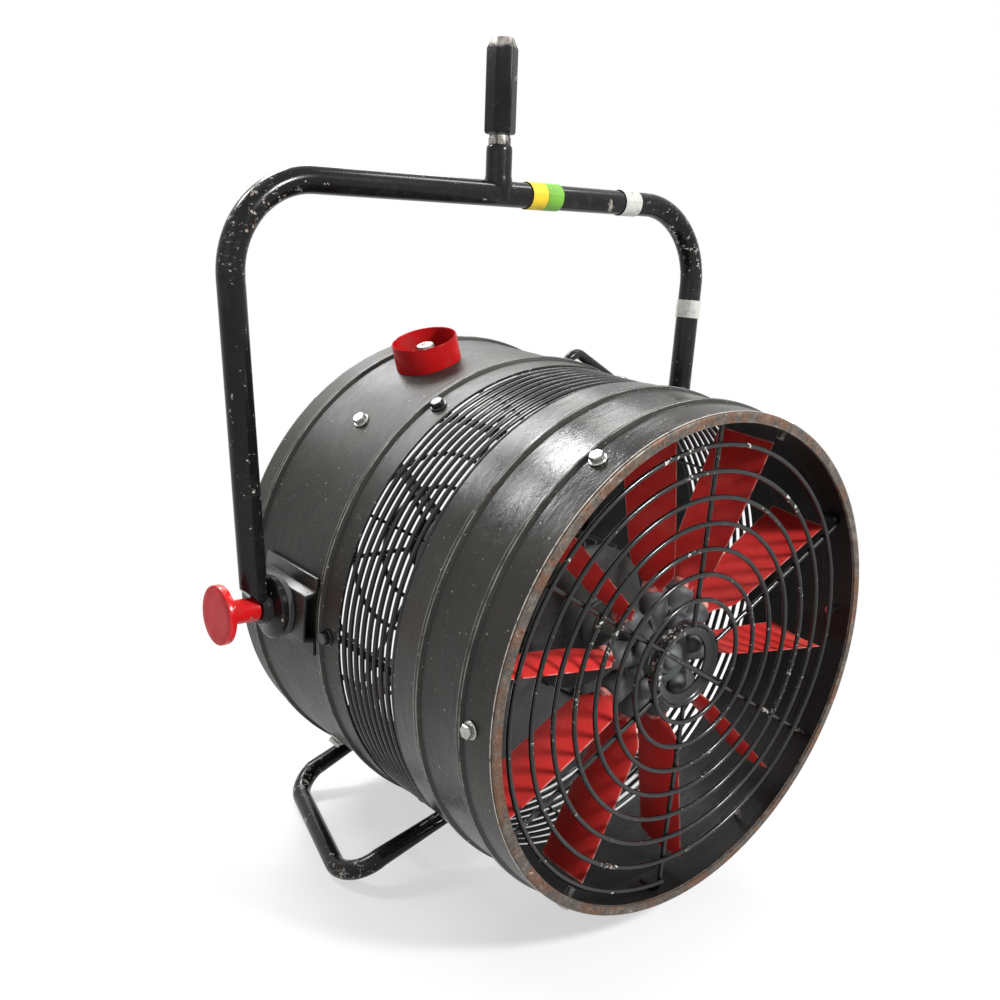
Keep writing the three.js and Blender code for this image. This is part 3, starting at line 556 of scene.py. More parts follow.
cage_wire = coated_wire("cage wire")
cage_bars = bent_bar_tree(cage_wire)
reach = (CAGE_GAP[1] - CAGE_GAP[0]) / CAGE_HOOPS
cage_hoops = grow("cage_hoops", hoops_tree(cage_wire), bmesh.new(), hoops=CAGE_HOOPS,
                  first_radius=CAGE_RADIUS / 1000, start=station(CAGE_GAP[0] + reach / 2),
                  pitch=reach / 1000, wire=CAGE_WIRE)
cage_stays = [grow(f"cage_stay_{side}", cage_bars, route_along(CAGE_RADIUS - 4, 112, 247),
                   thickness=0.0019, copies=FIXINGS, first_angle=FIXING_ANGLE + side * 0.55)
              for side in (-1, 1)]
cage_ties = grow("cage_ties", cage_bars, route_along(CAGE_RADIUS - 3.6, 128, 226),
                 thickness=0.0015, copies=FIXINGS, first_angle=FIXING_ANGLE + 30)
cage_bolts = grow("cage_bolts", around_tree(coated_wire("blackened bolt", chips=0.66)),
                  flange_bolt(238), first_angle=FIXING_ANGLE)
fit(merged("intake_cage_wires", cage_hoops, *cage_stays, cage_ties, cage_bolts),
    "drum", "wire_black", "intake_cage")

# ---------------- the front guard
# One wire wound in a flat spiral and welded on six spokes whose ends are bent back along the
# drum. A pressed ring closes the middle, with one spoke carried right across it.

GUARD_STATION = 9
GUARD_WIRE = 0.00225
SPOKE_RISE = 3.3
SPOKE_END = 226.4
SPIRAL_INNER, SPIRAL_OUTER = 0.0444, 0.2138
SPIRAL_TURNS = 22 / 3


def spiral_tree(material):
    """A flat wire spiral about the drum's axis, wound outwards and clockwise from the front."""
    growth = Growth("wire_spiral")
    inner, outer = growth.size("Inner radius", 0.044), growth.size("Outer radius", 0.214)
    turns, first = growth.size("Turns", 7.0), growth.size("First angle", 0.0)
    wire, start = growth.size("Wire", 0.002), growth.size("Start", 0.0)
    coil = growth.shape("CurveSpiral", Resolution=112, Rotations=turns, Start_Radius=inner,
                        End_Radius=outer, Height=0.0, Reverse=True)
    upright = growth.shape("Transform", Geometry=coil, Rotation=(math.pi / 2, 0, 0),
                           Translation=growth.vector(0, start, 0))
    wound = growth.swept(upright, wire, 10)
    return growth.end(growth.on_the_axis(wound, 1, first, 0.0), material)


def guard_wear(finish):
    """Knocks gather here and there on the guards, with whole stretches left sound."""
    return finish.noise(19, 4, offset=8.2).ramp(0.5, 0.66) * 0.55


guard_wire = coated_wire("guard wire", guard_wear, chips=0.665)
guard_bars = bent_bar_tree(guard_wire)
front_spiral = grow("front_spiral", spiral_tree(guard_wire), bmesh.new(),
                    inner_radius=SPIRAL_INNER, outer_radius=SPIRAL_OUTER, turns=SPIRAL_TURNS,
                    first_angle=150.0, start=station(GUARD_STATION), wire=GUARD_WIRE)
spoke_y = mm_station(GUARD_STATION + SPOKE_RISE)
front_spokes = grow("front_spokes", guard_bars, route_of(
    (37.5, spoke_y, 0), (SPOKE_END, spoke_y, 0), (SPOKE_END, spoke_y + 22, 0)),
    thickness=GUARD_WIRE, copies=6, first_angle=30.0)
cross_bar = grow("cross_bar", guard_bars, route_of((-39, spoke_y, 0), (39, spoke_y, 0)),
                 thickness=GUARD_WIRE, first_angle=-30.0)
centre_ring = made("centre_ring", round_drum([
    (27.6, 18.8), (28.4, 17.6), (34.6, 16.4), (36.4, 15.2), (37, 13.4), (38.2, 12.6),
    (39.6, 13.2), (40, 15), (40, 23.6), (38.2, 23.6), (38, 18), (36, 18.4), (29, 19.8),
    (28, 19.8)], loop=True), guard_wire)
fit(merged("front_guard", front_spiral, front_spokes, cross_bar, centre_ring),
    "drum", "wire_black", "front_grille")

# ---------------- the rear guard
# Flat wire work behind the motor: five rings and an outer hoop just inside the shell, on six
# spokes that a plate carries in the middle.

REAR_GUARD_STATION = 396
REAR_SPOKES = 392.2
REAR_WIRE = 0.0026

rear_hoops = hoops_tree(guard_wire)
rear_rings = grow("rear_rings", rear_hoops, bmesh.new(), hoops=5, first_radius=0.066,
                  radius_step=0.037, start=station(REAR_GUARD_STATION), wire=REAR_WIRE)
rear_hoop = grow("rear_hoop", rear_hoops, bmesh.new(), hoops=1, first_radius=0.2251,
                 start=station(REAR_GUARD_STATION), wire=REAR_WIRE)
rear_y = mm_station(REAR_SPOKES)
rear_spokes = grow("rear_spokes", guard_bars, route_of((28, rear_y, 0), (228.6, rear_y, 0)),
                   thickness=REAR_WIRE, copies=6)
rear_plate = made("rear_plate", round_drum([
    (0, 391.2), (33.6, 391.2), (34, 391.8), (34, 394.6), (33.4, 395.2), (0, 395.2)], 64),
    guard_wire)
fit(merged("rear_guard", rear_rings, rear_hoop, rear_spokes, rear_plate), "drum", "wire_black",
    "rear_grille")

# ---------------- the drum's bright bolts
# Zinc-plated hexagon bolts with washer faces. Six hold the front guard, and four hold the
# motor's arms.

ZINC = (0.46, 0.46, 0.44)
ARMS = 4
ARM_ANGLE, ARM_STEP = 43.8, 90.0


def plated(name, colour=ZINC, gloss=0.26):
    """Zinc plate: brushed, a little cloudy, with dull specks."""
    finish = Finish(name, Metallic=0.95)
    cloud = finish.noise(160, 5, 0.7)
    brushed = finish.noise(900, 2, stretch=(1, 0.08, 1), offset=2.0)
    shade = finish.mix(cloud.ramp(0.35, 0.7), tinted(colour, 0.72), colour)
    shade = finish.mix(finish.noise(420, 4, offset=9.0).ramp(0.6, 0.72) * 0.7, shade,
                       (0.2, 0.17, 0.13))
    return finish.surface(shade, cloud * 0.25 + brushed * 0.12 + (gloss - 0.12),
                          brushed * 0.4 + cloud * 0.4, 0.0001)


zinc = plated("zinc plate")
bright_bolts = around_tree(zinc)
front_bolts = grow("front_bolts", bright_bolts, flange_bolt(26.4, 12),
                   first_angle=FIXING_ANGLE)
fit(front_bolts, "drum", "zinc", *[f"front_bolt_{n + 1}" for n in range(FIXINGS)])
motor_bolts = grow("motor_bolts", bright_bolts, flange_bolt(311, 14), copies=ARMS,
                   first_angle=ARM_ANGLE, angle_step=ARM_STEP)
fit(motor_bolts, "drum", "zinc", *[f"motor_bolt_{n + 1}" for n in range(ARMS)])

# ---------------- the motor
# A finned, foot-less induction motor with domed end covers. Its cast iron is painted dark
# grey; a clamp ring round the rear cover holds it on four arms across the drum.

MOTOR_SPAN = (150.3, 299.7)
FINS = 32
FIN_SIDE = [(-0.055, 66), (-0.03, 68), (-0.02, 75), (-0.011, 75.8)]
CASTING = (0.024, 0.024, 0.023)


def casting(name, colour, gloss=0.5, dust=0.5):
    """Sand-cast metal, painted or bare: grainy, dusty in its hollows, rubbed on its highs."""
    finish = Finish(name, Metallic=0.1, Specular_IOR_Level=0.3)
    grain = finish.noise(520, 4, 0.7)
    cloud = finish.noise(24, 5, 0.65, offset=2.6)
    shade = finish.mix(cloud.ramp(0.3, 0.75), colour, tinted(colour, 1.9, 0.01))
    shade = finish.mix(grain.ramp(0.55, 0.75) * dust, shade, (0.16, 0.15, 0.135))
    rubbed = finish.noise(120, 6, 0.75, offset=6.1).ramp(0.66, 0.7)
    shade = finish.mix(rubbed * 0.6, shade, (0.3, 0.3, 0.29))
    return finish.surface(shade, cloud * 0.2 + grain * 0.15 + (gloss - 0.12),
                          grain * 0.8 + cloud * 0.5, 0.0004)


def finned_outline():
    """Round the body: narrow fins with rounded tips on a solid core."""
    fin = FIN_SIDE + [(-offset, radius) for offset, radius in FIN_SIDE[::-1]]
    middles = [2 * math.pi * (n + 0.5) / FINS for n in range(FINS)]
    return [(radius * math.cos(middle + offset), radius * math.sin(middle + offset))
            for middle in middles for offset, radius in fin]


def prism(outline, low, high, place):
    """A straight solid over a closed outline in millimetres, between two heights."""
    mesh = bmesh.new()
    return skin(mesh, [[mesh.verts.new(place @ Vector((x / 1000, y / 1000, level / 1000)))
                        for x, y in outline] for level in (low, high)])


on_drum_axis = Matrix.Translation(ON_AXIS) @ Matrix.Rotation(-math.pi / 2, 4, "X")
motor_paint = casting("motor paint", CASTING)
fins = prism(finned_outline(), *map(mm_station, MOTOR_SPAN), on_drum_axis)
fit(made("motor_fins", fins, motor_paint, 0.5), "drum", "motor_grey", "motor_body")

front_cover = round_drum([
    (10, 150), (71, 150), (72, 149), (72, 143.5), (70.5, 141.6), (60, 138), (46, 134.4),
    (30, 132.4), (26, 131.4), (24, 129), (24, 126), (23, 125), (10, 125)], loop=True)
fit(made("motor_front_bell", front_cover, motor_paint), "drum", "motor_grey",
    "motor_front_cover")
rear_cover = round_drum([(0, 300), (71, 300), (72, 301), (72, 322), (71, 325), (67, 328.6),
                         (60, 331.6), (40, 333.2), (0, 334)])
fit(made("motor_rear_bell", rear_cover, motor_paint), "drum", "motor_grey",
    "motor_rear_cover")

# ---------------- the motor's bracket
# A split clamp ring of flat bar with four arms, each ending in a pad that takes a bolt
# through the drum.

CLAMP_INSIDE = 72.6
CLAMP_OUTSIDE = 78.6
ARM_STATION = 312
PAD_FACE = 228.0


def box_between(low, high, turn=0.0):
    """A block between two corners in millimetres, turned about the drum's axis."""
    mesh = bmesh.new()
    bmesh.ops.create_cube(mesh, size=1.0)
    size = [(h - l) / 1000 for l, h in zip(low, high)]
    middle = [(h + l) / 2000 for l, h in zip(low, high)]
    bmesh.ops.transform(mesh, verts=mesh.verts, matrix=(
        Matrix.Translation(ON_AXIS) @ Matrix.Rotation(-math.radians(turn), 4, "Y")
        @ Matrix.Translation(middle) @ Matrix.Diagonal((*size, 1))))
    return mesh


arm_y = mm_station(ARM_STATION)
arm_parts = [round_drum([(CLAMP_INSIDE, ARM_STATION - 11), (CLAMP_OUTSIDE, ARM_STATION - 11),
                         (CLAMP_OUTSIDE, ARM_STATION + 11), (CLAMP_INSIDE, ARM_STATION + 11)],
                        loop=True)]
for number in range(ARMS):
    turn = ARM_ANGLE + ARM_STEP * number
    arm_parts += [
        box_between((CLAMP_OUTSIDE - 3, arm_y - 10, -2.5), (PAD_FACE - 3, arm_y + 10, 2.5), turn),
        box_between((PAD_FACE - 5, arm_y - 11, -17), (PAD_FACE - 0.6, arm_y + 11, 17), turn)]
fit(made("motor_arms", joined(*arm_parts), motor_paint, 0.7), "drum", "motor_grey",
    "motor_bracket")

# ---------------- the impeller's hub
# Two cast plates clamp the blades' round shanks between half-round knuckles, so that the
# pitch can be set with the bolts slack. A nut with a domed cap holds the hub on the shaft.

BLADES = 10
BLADE_FIRST = 30.0
BLADE_STEP = 360.0 / BLADES
BLADE_STATION = 54
BLADE_SEAT = (0, station(BLADE_STATION), 0)
HUB_BOLTS = 5
CAST = (0.05, 0.053, 0.054)
hub_metal = casting("hub casting", CAST, gloss=0.46, dust=0.35)
hub_ring = around_tree(hub_metal)


def cut(mesh, geometry, point, normal):
    """Cuts off what lies on the normal's side of a plane, and closes the hole."""
    rim = bmesh.ops.bisect_plane(mesh, geom=geometry, plane_co=point, plane_no=normal,
                                 clear_outer=True)["geom_cut"]
    bmesh.ops.holes_fill(mesh, sides=0, edges=[
        e for e in rim if isinstance(e, bmesh.types.BMEdge)])


def knuckle(side):
    """Half a blade clamp at angle 0: a barrel with a rounded nose and a split face."""
    barrel = turned([(0, 26), (12.4, 26), (12.8, 27), (13, 58), (12.4, 61), (10.6, 63.4),
                     (8.2, 64.4), (8.2, 52), (0, 52)], BLADE_SEAT, (1, 0, 0), 40)
    cut(barrel, barrel.verts[:] + barrel.edges[:] + barrel.faces[:],
        (0, station(BLADE_STATION + side * 0.15), 0), (0, -side, 0))
    bmesh.ops.recalc_face_normals(barrel, faces=barrel.faces)
    return barrel


def hub_plate(name, side):
    """A plate with its ten knuckles and the webs between them, on one side of the shanks."""
    knuckles = grow(f"{name}_knuckles", hub_ring, knuckle(side), copies=BLADES,
                    first_angle=BLADE_FIRST, angle_step=BLADE_STEP)
    section = [(9.9, 0.15), (44, 0.15), (44, 6.5), (43, 8), (28, 10.4), (26.6, 11.4),
               (26, 15.6), (25, 17), (11, 17), (9.9, 16)]
    disc = made(f"{name}_disc", round_drum([(r, BLADE_STATION + side * y) for r, y in section],
                                           80, loop=True), hub_metal)
    web_y = mm_station(BLADE_STATION) + side * 9
    webs = made(f"{name}_webs", joined(*[
        box_between((24, web_y - 2, -2.2), (42, web_y + 2, 2.2),
                    BLADE_FIRST + BLADE_STEP * (n + 0.5)) for n in range(BLADES)]),
        hub_metal, 0.6)
    fit(merged(name, knuckles, disc, webs), "impeller", "hub_grey", f"{name}_plate")


def dome(radius, seat, rise, angles):
    """The round part of a cap's section, from its wall in to its top."""
    return [(radius * math.cos(a), seat + rise * math.sin(a)) for a in angles]


hub_plate("hub_front", -1)
hub_plate("hub_back", 1)

cap_bolt = turned([(0, 0.4), (9.6, 0.4), (10.2, 1.4)]
                  + dome(10.2, 1.4, 8.6, (0.2, 0.4, 0.6, 0.8, 1.0, 1.2, 1.4)) + [(0, 10)],
                  (0.035, station(BLADE_STATION - 13.6), 0), (0, -1, 0), 32)
hub_bolts = grow("hub_cap_bolts", hub_ring, cap_bolt, copies=HUB_BOLTS,
                 first_angle=BLADE_FIRST - 18, angle_step=360.0 / HUB_BOLTS)
fit(hub_bolts, "impeller", "hub_grey", *[f"hub_bolt_{n + 1}" for n in range(HUB_BOLTS)])

cap_nut = turned([(0, 0), (14.4, 0), (15, 0.6), (15, 1.8), (14.2, 2.3), (11, 2.5)]
                 + dome(11, 2.5, 6.4, (0.2, 0.45, 0.75, 1.05, 1.3)) + [(0, 8.9)],
                 (0, station(35.7), AXIS), (0, -1, 0), 40)
fit(made("hub_cap_nut", cap_nut, hub_metal), "impeller", "hub_grey", "hub_nut")
shaft = turned([(0, -150), (9, -150), (9.5, -149.5), (9.5, -36.5), (9, -36), (0, -36)],
               (0, station(0), AXIS), (0, -1, 0), 48)
fit(made("shaft", shaft, zinc), "impeller", "zinc", "motor_shaft")

# ---------------- the blades
# Ten moulded blades in satin red, each a cambered, slightly twisted plate that grows out of
# a round shank. Dust clings near the roots, and the edges and tips are rubbed pale.

BLADE_ROOT, BLADE_TIP = 62, 214
BLADE_CHORD = 60
BLADE_PITCH = 87
BLADE_CAMBER = 3.2
BLADE_RED = (0.62, 0.036, 0.032)
SECTION_POINTS, SPAN_STEPS = 36, 40
PITCH_SCATTER = 0.012


def blade_section(radius, t):
    """The blade's outline at a radius, as radius, y, z and the place along the chord; t runs
    from 0 at the root to 1 at the tip."""
    root = min(1.0, t / 0.16)
    ease = root * root * (3 - 2 * root)
    chord = (BLADE_CHORD - 9 * (1 - t) ** 2) * (0.45 + 0.55 * ease)
    pitch = math.radians(BLADE_PITCH + 5 * (0.5 - t))
    camber = BLADE_CAMBER * ease
    points = []
    for step in range(SECTION_POINTS):
        around = 2 * math.pi * step / SECTION_POINTS
        c = 0.5 - 0.5 * math.cos(around)
        upper = 1 if around < math.pi else -1
        half = 2.35 * math.sqrt(max(c, 0)) * (1 - c) ** 0.8 * 1.5 + 0.55 * math.sin(math.pi * c)
        half += (5.2 - 2.2 * c) * (1 - ease) * math.sin(math.pi * c)
        line = (c - 0.5) * chord
        rise = camber * (1 - (2 * c - 1) ** 2) + upper * half * (1 - 0.25 * t)
        points.append((radius, line * math.sin(pitch) + rise * math.cos(pitch),
                       line * math.cos(pitch) - rise * math.sin(pitch), c))
    return points


def blade_mesh():
    """One blade at angle 0, relative to the drum's axis, with its shank into the hub. The tip
    is rounded to the drum's curve."""
    mesh = bmesh.new()
    span, chordwise = (mesh.verts.layers.float.new(n) for n in ("span", "chordwise"))
    rings = []
    for step in range(SPAN_STEPS + 1):
        t = step / SPAN_STEPS
        rings.append([])
        for r, y, z, c in blade_section(BLADE_ROOT + (BLADE_TIP - BLADE_ROOT) * t, t):
            length = math.sqrt(max(r * r - z * z, 0)) if t > 0.85 else r
            vert = mesh.verts.new(((length if t == 1 else r - (r - length) * t) / 1000,
                                   station(BLADE_STATION) + y / 1000, z / 1000))
            vert[span], vert[chordwise] = t, c
            rings[-1].append(vert)
    shank = turned([(0, 38), (7.6, 38), (7.8, 52), (8, 58), (9.6, 64.6), (9.4, 67.5), (7, 70),
                    (0, 71)], BLADE_SEAT, (1, 0, 0), 32)
    return joined(skin(mesh, rings), shank)


def blade_finish():
    finish = Finish("blade red", Specular_IOR_Level=0.09)
    along, across = (finish.node("ShaderNodeAttribute", out="Fac", attribute_name=name)
                     for name in ("span", "chordwise"))
    cloud = finish.noise(11, 5, 0.6)
    dirt = finish.noise(48, 6, 0.72, offset=4.0)
    streaks = finish.noise(26, 4, 0.6, stretch=(1, 0.25, 1), offset=1.1)
    colour = finish.mix(cloud.ramp(0.3, 0.7), tinted(BLADE_RED, 0.72), BLADE_RED)
    colour = finish.mix(streaks.ramp(0.5, 0.75) * 0.4, colour, (0.62, 0.11, 0.09))
    film = dirt.ramp(0.54, 0.74) * 0.4 + along.ramp(0.25, 0.0) * 0.25
    colour = finish.mix(film, colour, (0.12, 0.035, 0.03))
    edge = across.ramp(0.025, 0.0) + across.ramp(0.975, 1.0) + along.ramp(0.985, 1.0)
    worn = edge * finish.noise(75, 5, 0.7, offset=6.6).ramp(0.38, 0.56)
    colour = finish.mix(worn * 0.75, colour, (0.62, 0.34, 0.3))
    return finish.surface(colour, cloud * 0.18 + dirt * 0.2 + 0.27,
                          finish.noise(300, 3) * 0.3 + dirt * 0.3, 0.0002)


def blades_tree(material):
    """One blade repeated round the hub, each clamped at a slightly different pitch."""
    growth = Growth("set_of_blades")
    count, first = growth.size("Blades", 10), growth.size("First angle", 30.0)
    scatter, seed = growth.size("Pitch scatter", 0.012), growth.size("Seed", 3)
    centred = growth.shape("Transform", Geometry=growth.base,
                           Translation=(0, -station(BLADE_STATION), 0))
    points = growth.shape("MeshLine", Count=count, Offset=(0, 0, 0),
                          Start_Location=(0, station(BLADE_STATION), AXIS))
    twist = growth.node("FunctionNodeRandomValue", {
        2: scatter * -1, 3: scatter, "Seed": seed}, out=1, data_type="FLOAT")
    set_round = growth.shape("InstanceOnPoints", Points=points, Instance=centred,
                             Rotation=growth.vector(twist, growth.turns_of(first, BLADE_STEP)))
    return growth.end(set_round, material)


blades = grow("blade_set", blades_tree(blade_finish()), blade_mesh(), blades=BLADES,
              first_angle=BLADE_FIRST, pitch_scatter=PITCH_SCATTER, seed=3)
fit(blades, "impeller", "blade_red", *[f"blade_{n + 1}" for n in range(BLADES)])

# ---------------- the button in its guard
# A red steel ring, coped and welded to the drum, keeps knocks off a push button: a bright
# plated plunger in a zinc-plated bezel.

GUARD_ANGLE = math.radians(109)
GUARD_AXIS = Vector((math.cos(GUARD_ANGLE), 0, math.sin(GUARD_ANGLE)))
GUARD_SEAT = Vector((0, station(327.6), AXIS)) + GUARD_AXIS * (DRUM_RADIUS / 1000)
GUARD_RED = (0.3, 0.003, 0.004)
UNDER_SKIN = 0.2318


def free_edge_wear(finish):
    """Wear along the ring's outer edge, 24 mm above the drum."""
    seat = GUARD_SEAT.dot(GUARD_AXIS)
    return finish.along(GUARD_AXIS).ramp(seat + 0.0225, seat + 0.0242)


finish, colour, roughness, height = enamel(
    "guard red", GUARD_RED, free_edge_wear, gloss=0.3, chips=0.74,
    undercoat=(0.5, 0.36, 0.33), Specular_IOR_Level=0.06)
guard_red = finish.surface(colour, roughness, height)

guard = turned([(30.6, -3), (30.6, 22.8), (31, 23.7), (31.6, 24), (32, 23.7), (32.4, 22.8),
                (32.4, -3)], GUARD_SEAT, GUARD_AXIS, 96, loop=True)
for vert in guard.verts:
    level = (vert.co - GUARD_SEAT).dot(GUARD_AXIS)
    if level < 0:
        foot = vert.co - GUARD_AXIS * level
        across = (foot - GUARD_SEAT).cross(Vector((0, 1, 0))).dot(GUARD_AXIS)
        drop = math.sqrt(UNDER_SKIN ** 2 - across ** 2) - DRUM_RADIUS / 1000
        vert.co = foot + GUARD_AXIS * drop
fit(made("button_guard_ring", guard, guard_red), "drum", "guard_red", "button_guard")

bezel = turned([(0, -0.6), (12.9, -0.6), (13, 0), (13, 8.8), (12.4, 9.9), (11.4, 10.4),
                (10.2, 10.4), (9.3, 9.8), (9.1, 9), (9.1, 3.4), (0, 3.4)], GUARD_SEAT,
               GUARD_AXIS)
fit(made("bezel", bezel, zinc), "drum", "zinc", "button_bezel")
plunger = turned([(0, 7.2), (8.3, 7.2), (8.6, 7.6), (8.6, 16.9), (8.3, 17.6), (7.6, 17.95),
                  (3.2, 17.95), (2.6, 17.5), (1.2, 17), (0, 16.9)], GUARD_SEAT, GUARD_AXIS)
fit(made("button_plunger", plunger,
         plated("worn plunger plate", (0.28, 0.28, 0.27), gloss=0.55)),
    "power_button", "zinc", "power_button")

# ---------------- the carrying handle
# A low bow of thin bar that follows the drum's curve, glossy black, welded at both ends.
# Only one end of it shows from the front.

HANDLE_STATION = 312
HANDLE_ROUTE = [(34, 224), (34, 252), (50, 256), (66, 252), (66, 224)]
WELD_RADIUS = 231.2
TUBE_COAT = (0.0045, 0.0045, 0.0047)
TUBE_UNDERCOAT = (0.42, 0.405, 0.38)


def on_circle(angle, radius):
    turn = math.radians(angle)
    return (radius * math.cos(turn), mm_station(HANDLE_STATION), radius * math.sin(turn))


def tube_paint(name, wear=None, chips=0.7):
    """Glossy black enamel that has come off the tube in spots and in larger flakes."""
    finish, colour, roughness, height = enamel(
        name, TUBE_COAT, wear, 0.24, chips, TUBE_UNDERCOAT, 170, Specular_IOR_Level=0.15,
        Coat_Weight=0.1, Coat_Roughness=0.07)
    flakes = finish.noise(42, 6, 0.72, stretch=(1, 1, 0.5), offset=7.7).ramp(0.66, 0.675)
    colour = finish.mix(flakes, colour, (0.3, 0.27, 0.235))
    return finish.surface(colour, roughness, height - flakes, 0.0002)


def coped(piece):
    """Presses what reaches inside the drum back on to its sheet, where the weld is."""
    for vert in piece.data.vertices:
        x, z = vert.co.x, vert.co.z - AXIS
        if math.hypot(x, z) * 1000 < WELD_RADIUS:
            scale = WELD_RADIUS / 1000 / math.hypot(x, z)
            vert.co = (x * scale, vert.co.y, z * scale + AXIS)
    return piece


handle = grow("handle_bow", bent_bar_tree(tube_paint("handle enamel"), 24),
              route_of(*[on_circle(*point) for point in HANDLE_ROUTE]), thickness=0.0054,
              bend=0.014, bend_steps=12)
fit(coped(handle), "drum", "tube_black", "carrying_handle")

# ---------------- the feet
# Two bows of 19 mm tube welded under the drum. Each is knocked bright at its bends, where
# it stands and drags.

SIDES = ((-1, "left"), (1, "right"))
FOOT_STATIONS = (204, 392)
FOOT_SPREAD = (219, 163)
FOOT_WELDS = [(88, -187), (74, -184)]
FOOT_RADIUS = 9.5


def foot(word, side):
    def wear(finish):
        use = 0.0
        for x, behind_rim in zip(FOOT_SPREAD, FOOT_STATIONS):
            use = finish.near((side * x / 1000, station(behind_rim), 0.006), 0.02, 0.075) + use
        return use * 0.8 + finish.place()[2].ramp(0.006, 0.001) * 0.7

    front, rear = map(mm_station, FOOT_STATIONS)
    low = FOOT_RADIUS - AXIS * 1000
    route = route_of((side * FOOT_WELDS[0][0], front, FOOT_WELDS[0][1]),
                     (side * FOOT_SPREAD[0], front, low), (side * FOOT_SPREAD[1], rear, low),
                     (side * FOOT_WELDS[1][0], rear, FOOT_WELDS[1][1]))
    paint = tube_paint(f"foot_{word} enamel", wear, chips=0.72)
    tube = grow(f"foot_{word}_tube", bent_bar_tree(paint, 28), route, thickness=0.0094,
                bend=0.032, bend_steps=14)
    fit(coped(tube), "drum", "tube_black", f"foot_{word}")


for side, word in SIDES:
    foot(word, side)

# ---------------- the yoke's pivots
# On each side a pressed channel is welded along the drum. A dark friction disc, the yoke's
# eye and a red clamp screw are stacked on it, and the screw runs into a nut in the channel.

PIVOT = Vector((0, station(301.6), AXIS))
CHANNEL = (258, 350)
CROWN = 246
CHANNEL_SEAT = 0.2316
CHANNEL_OUTER = [(230.6, -37.5), (233.4, -37.5), (234.2, -36.8), (234.6, -25.5),
                 (235.6, -24.2), (243.6, -23), (245.2, -22.4), (CROWN, -20.8)]
CHANNEL_INNER = [(230.6, 20), (242.4, 19.4), (243, 18.6)]
KNOB_FACE = 311
KNOB_RED = (0.43, 0.004, 0.006)
LINING = (0.03, 0.03, 0.031)


def bracket(word, side):
    """The channel: flanges on the drum, slanted webs and a flat crown, coped to the sheet."""
    def wear(finish):
        return abs(finish.place()[0]).ramp(0.2445, 0.2462) * 0.4

    place = Matrix.Translation(ON_AXIS) @ Matrix(
        ((side, 0, 0, 0), (0, 0, 1, 0), (0, 1, 0, 0), (0, 0, 0, 1)))
    channel = prism(mirrored(CHANNEL_OUTER) + mirrored(CHANNEL_INNER),
                    *map(mm_station, CHANNEL), place)
    finish, colour, roughness, height = enamel(f"bracket {word} enamel", ENAMEL, wear,
                                               gloss=0.38, chips=0.73)
    piece = made(f"bracket_{word}", channel, finish.surface(colour, roughness, height), 0.4)
    for vert in piece.data.vertices:
        x, z = vert.co.x, vert.co.z - AXIS
        if abs(x) < 0.2315 and math.hypot(x, z) < CHANNEL_SEAT:
            vert.co.x = math.copysign(math.sqrt(max(CHANNEL_SEAT ** 2 - z * z, 0)), x)
    fit(piece, "drum", "shell_black", f"pivot_bracket_{word}")


def lining(word, side):
    """The friction disc: dark pressed fibre with pale grit in it."""
    finish = Finish(f"lining {word}")
    grit = finish.noise(600, 5, 0.8)
    rub = finish.noise(45, 4, offset=3.0)
    shade = finish.mix(grit.ramp(0.45, 0.7), LINING, (0.085, 0.08, 0.075))
    paint = finish.surface(shade, rub * 0.2 + 0.55, grit)
    profile = [(6.6, 0.3), (28.6, 0.3), (29.5, 1.2), (29.5, 5.6), (28.8, 6.4), (6.6, 6.4)]
    disc = turned([(r, CROWN + h) for r, h in profile], PIVOT, (side, 0, 0), 80, loop=True)
    fit(made(f"lining_disc_{word}", disc, paint), "drum", "disc_grey", f"friction_disc_{word}")


def clamp_knob(word, side):
    """The red screw: a flat faded disc on a glossy shank, with a bright thread behind it."""
    def wear(finish):
        outer = (finish.place()[0] * side).ramp(0.3102, 0.3108)
        return outer * 0.3 + finish.near((side * 0.307, PIVOT.y, AXIS), 0.0275, 0.0245) * 0.85

    finish, colour, roughness, height = enamel(
        f"knob {word} red", KNOB_RED, wear, gloss=0.26, chips=0.785,
        undercoat=(0.42, 0.39, 0.36), Specular_IOR_Level=0.16, Coat_Roughness=0.15)
    out = finish.place()[0] * side
    face = out.ramp(0.3098, 0.3106)
    faded = finish.mix(finish.noise(60, 6, 0.7).ramp(0.35, 0.65), (0.34, 0.006, 0.01),
                       (0.43, 0.03, 0.035))
    colour = finish.mix(face * 0.8, colour, faded)
    thread = out.ramp(0.2704, 0.2698)
    colour = finish.mix(thread, colour, (0.3, 0.29, 0.27))
    paint = finish.surface(colour, roughness + face * 0.16, height,
                           Metallic=thread * 0.9, Coat_Weight=(1 - face) * 0.25)
    shank = KNOB_FACE - 8
    ridges = [(5.9 if k % 2 else 5.2, 235.6 + 0.9 * k) for k in range(38)]
    profile = [(0, 234.9), (5, 234.9)] + ridges + [
        (6, 270.6), (10.6, 270.6), (11.2, 271.2), (11.2, shank - 1.4), (11.8, shank - 0.5),
        (13, shank), (26.2, shank), (27.2, shank + 0.6), (27.5, shank + 1.6),
        (27.5, KNOB_FACE - 1.8), (27.1, KNOB_FACE - 0.6), (26, KNOB_FACE), (20, KNOB_FACE - 0.1),
        (8, KNOB_FACE - 0.25), (0, KNOB_FACE - 0.3)]
    screw = turned(profile, PIVOT, (side, 0, 0), 96)
    fit(made(f"clamp_screw_{word}", screw, paint), f"clamp_knob_{word}", "guard_red",
        f"clamp_knob_{word}")


def pivot_nut(word, side):
    place = Matrix.Translation(PIVOT) @ Vector((side, 0, 0)).to_track_quat(
        "Z", "Y").to_matrix().to_4x4()
    nut = prism(hexagon(9.9), CROWN - 10.3, CROWN - 3.3, place)
    fit(made(f"nut_{word}", nut, zinc, 0.5), "drum", "zinc", f"pivot_nut_{word}")


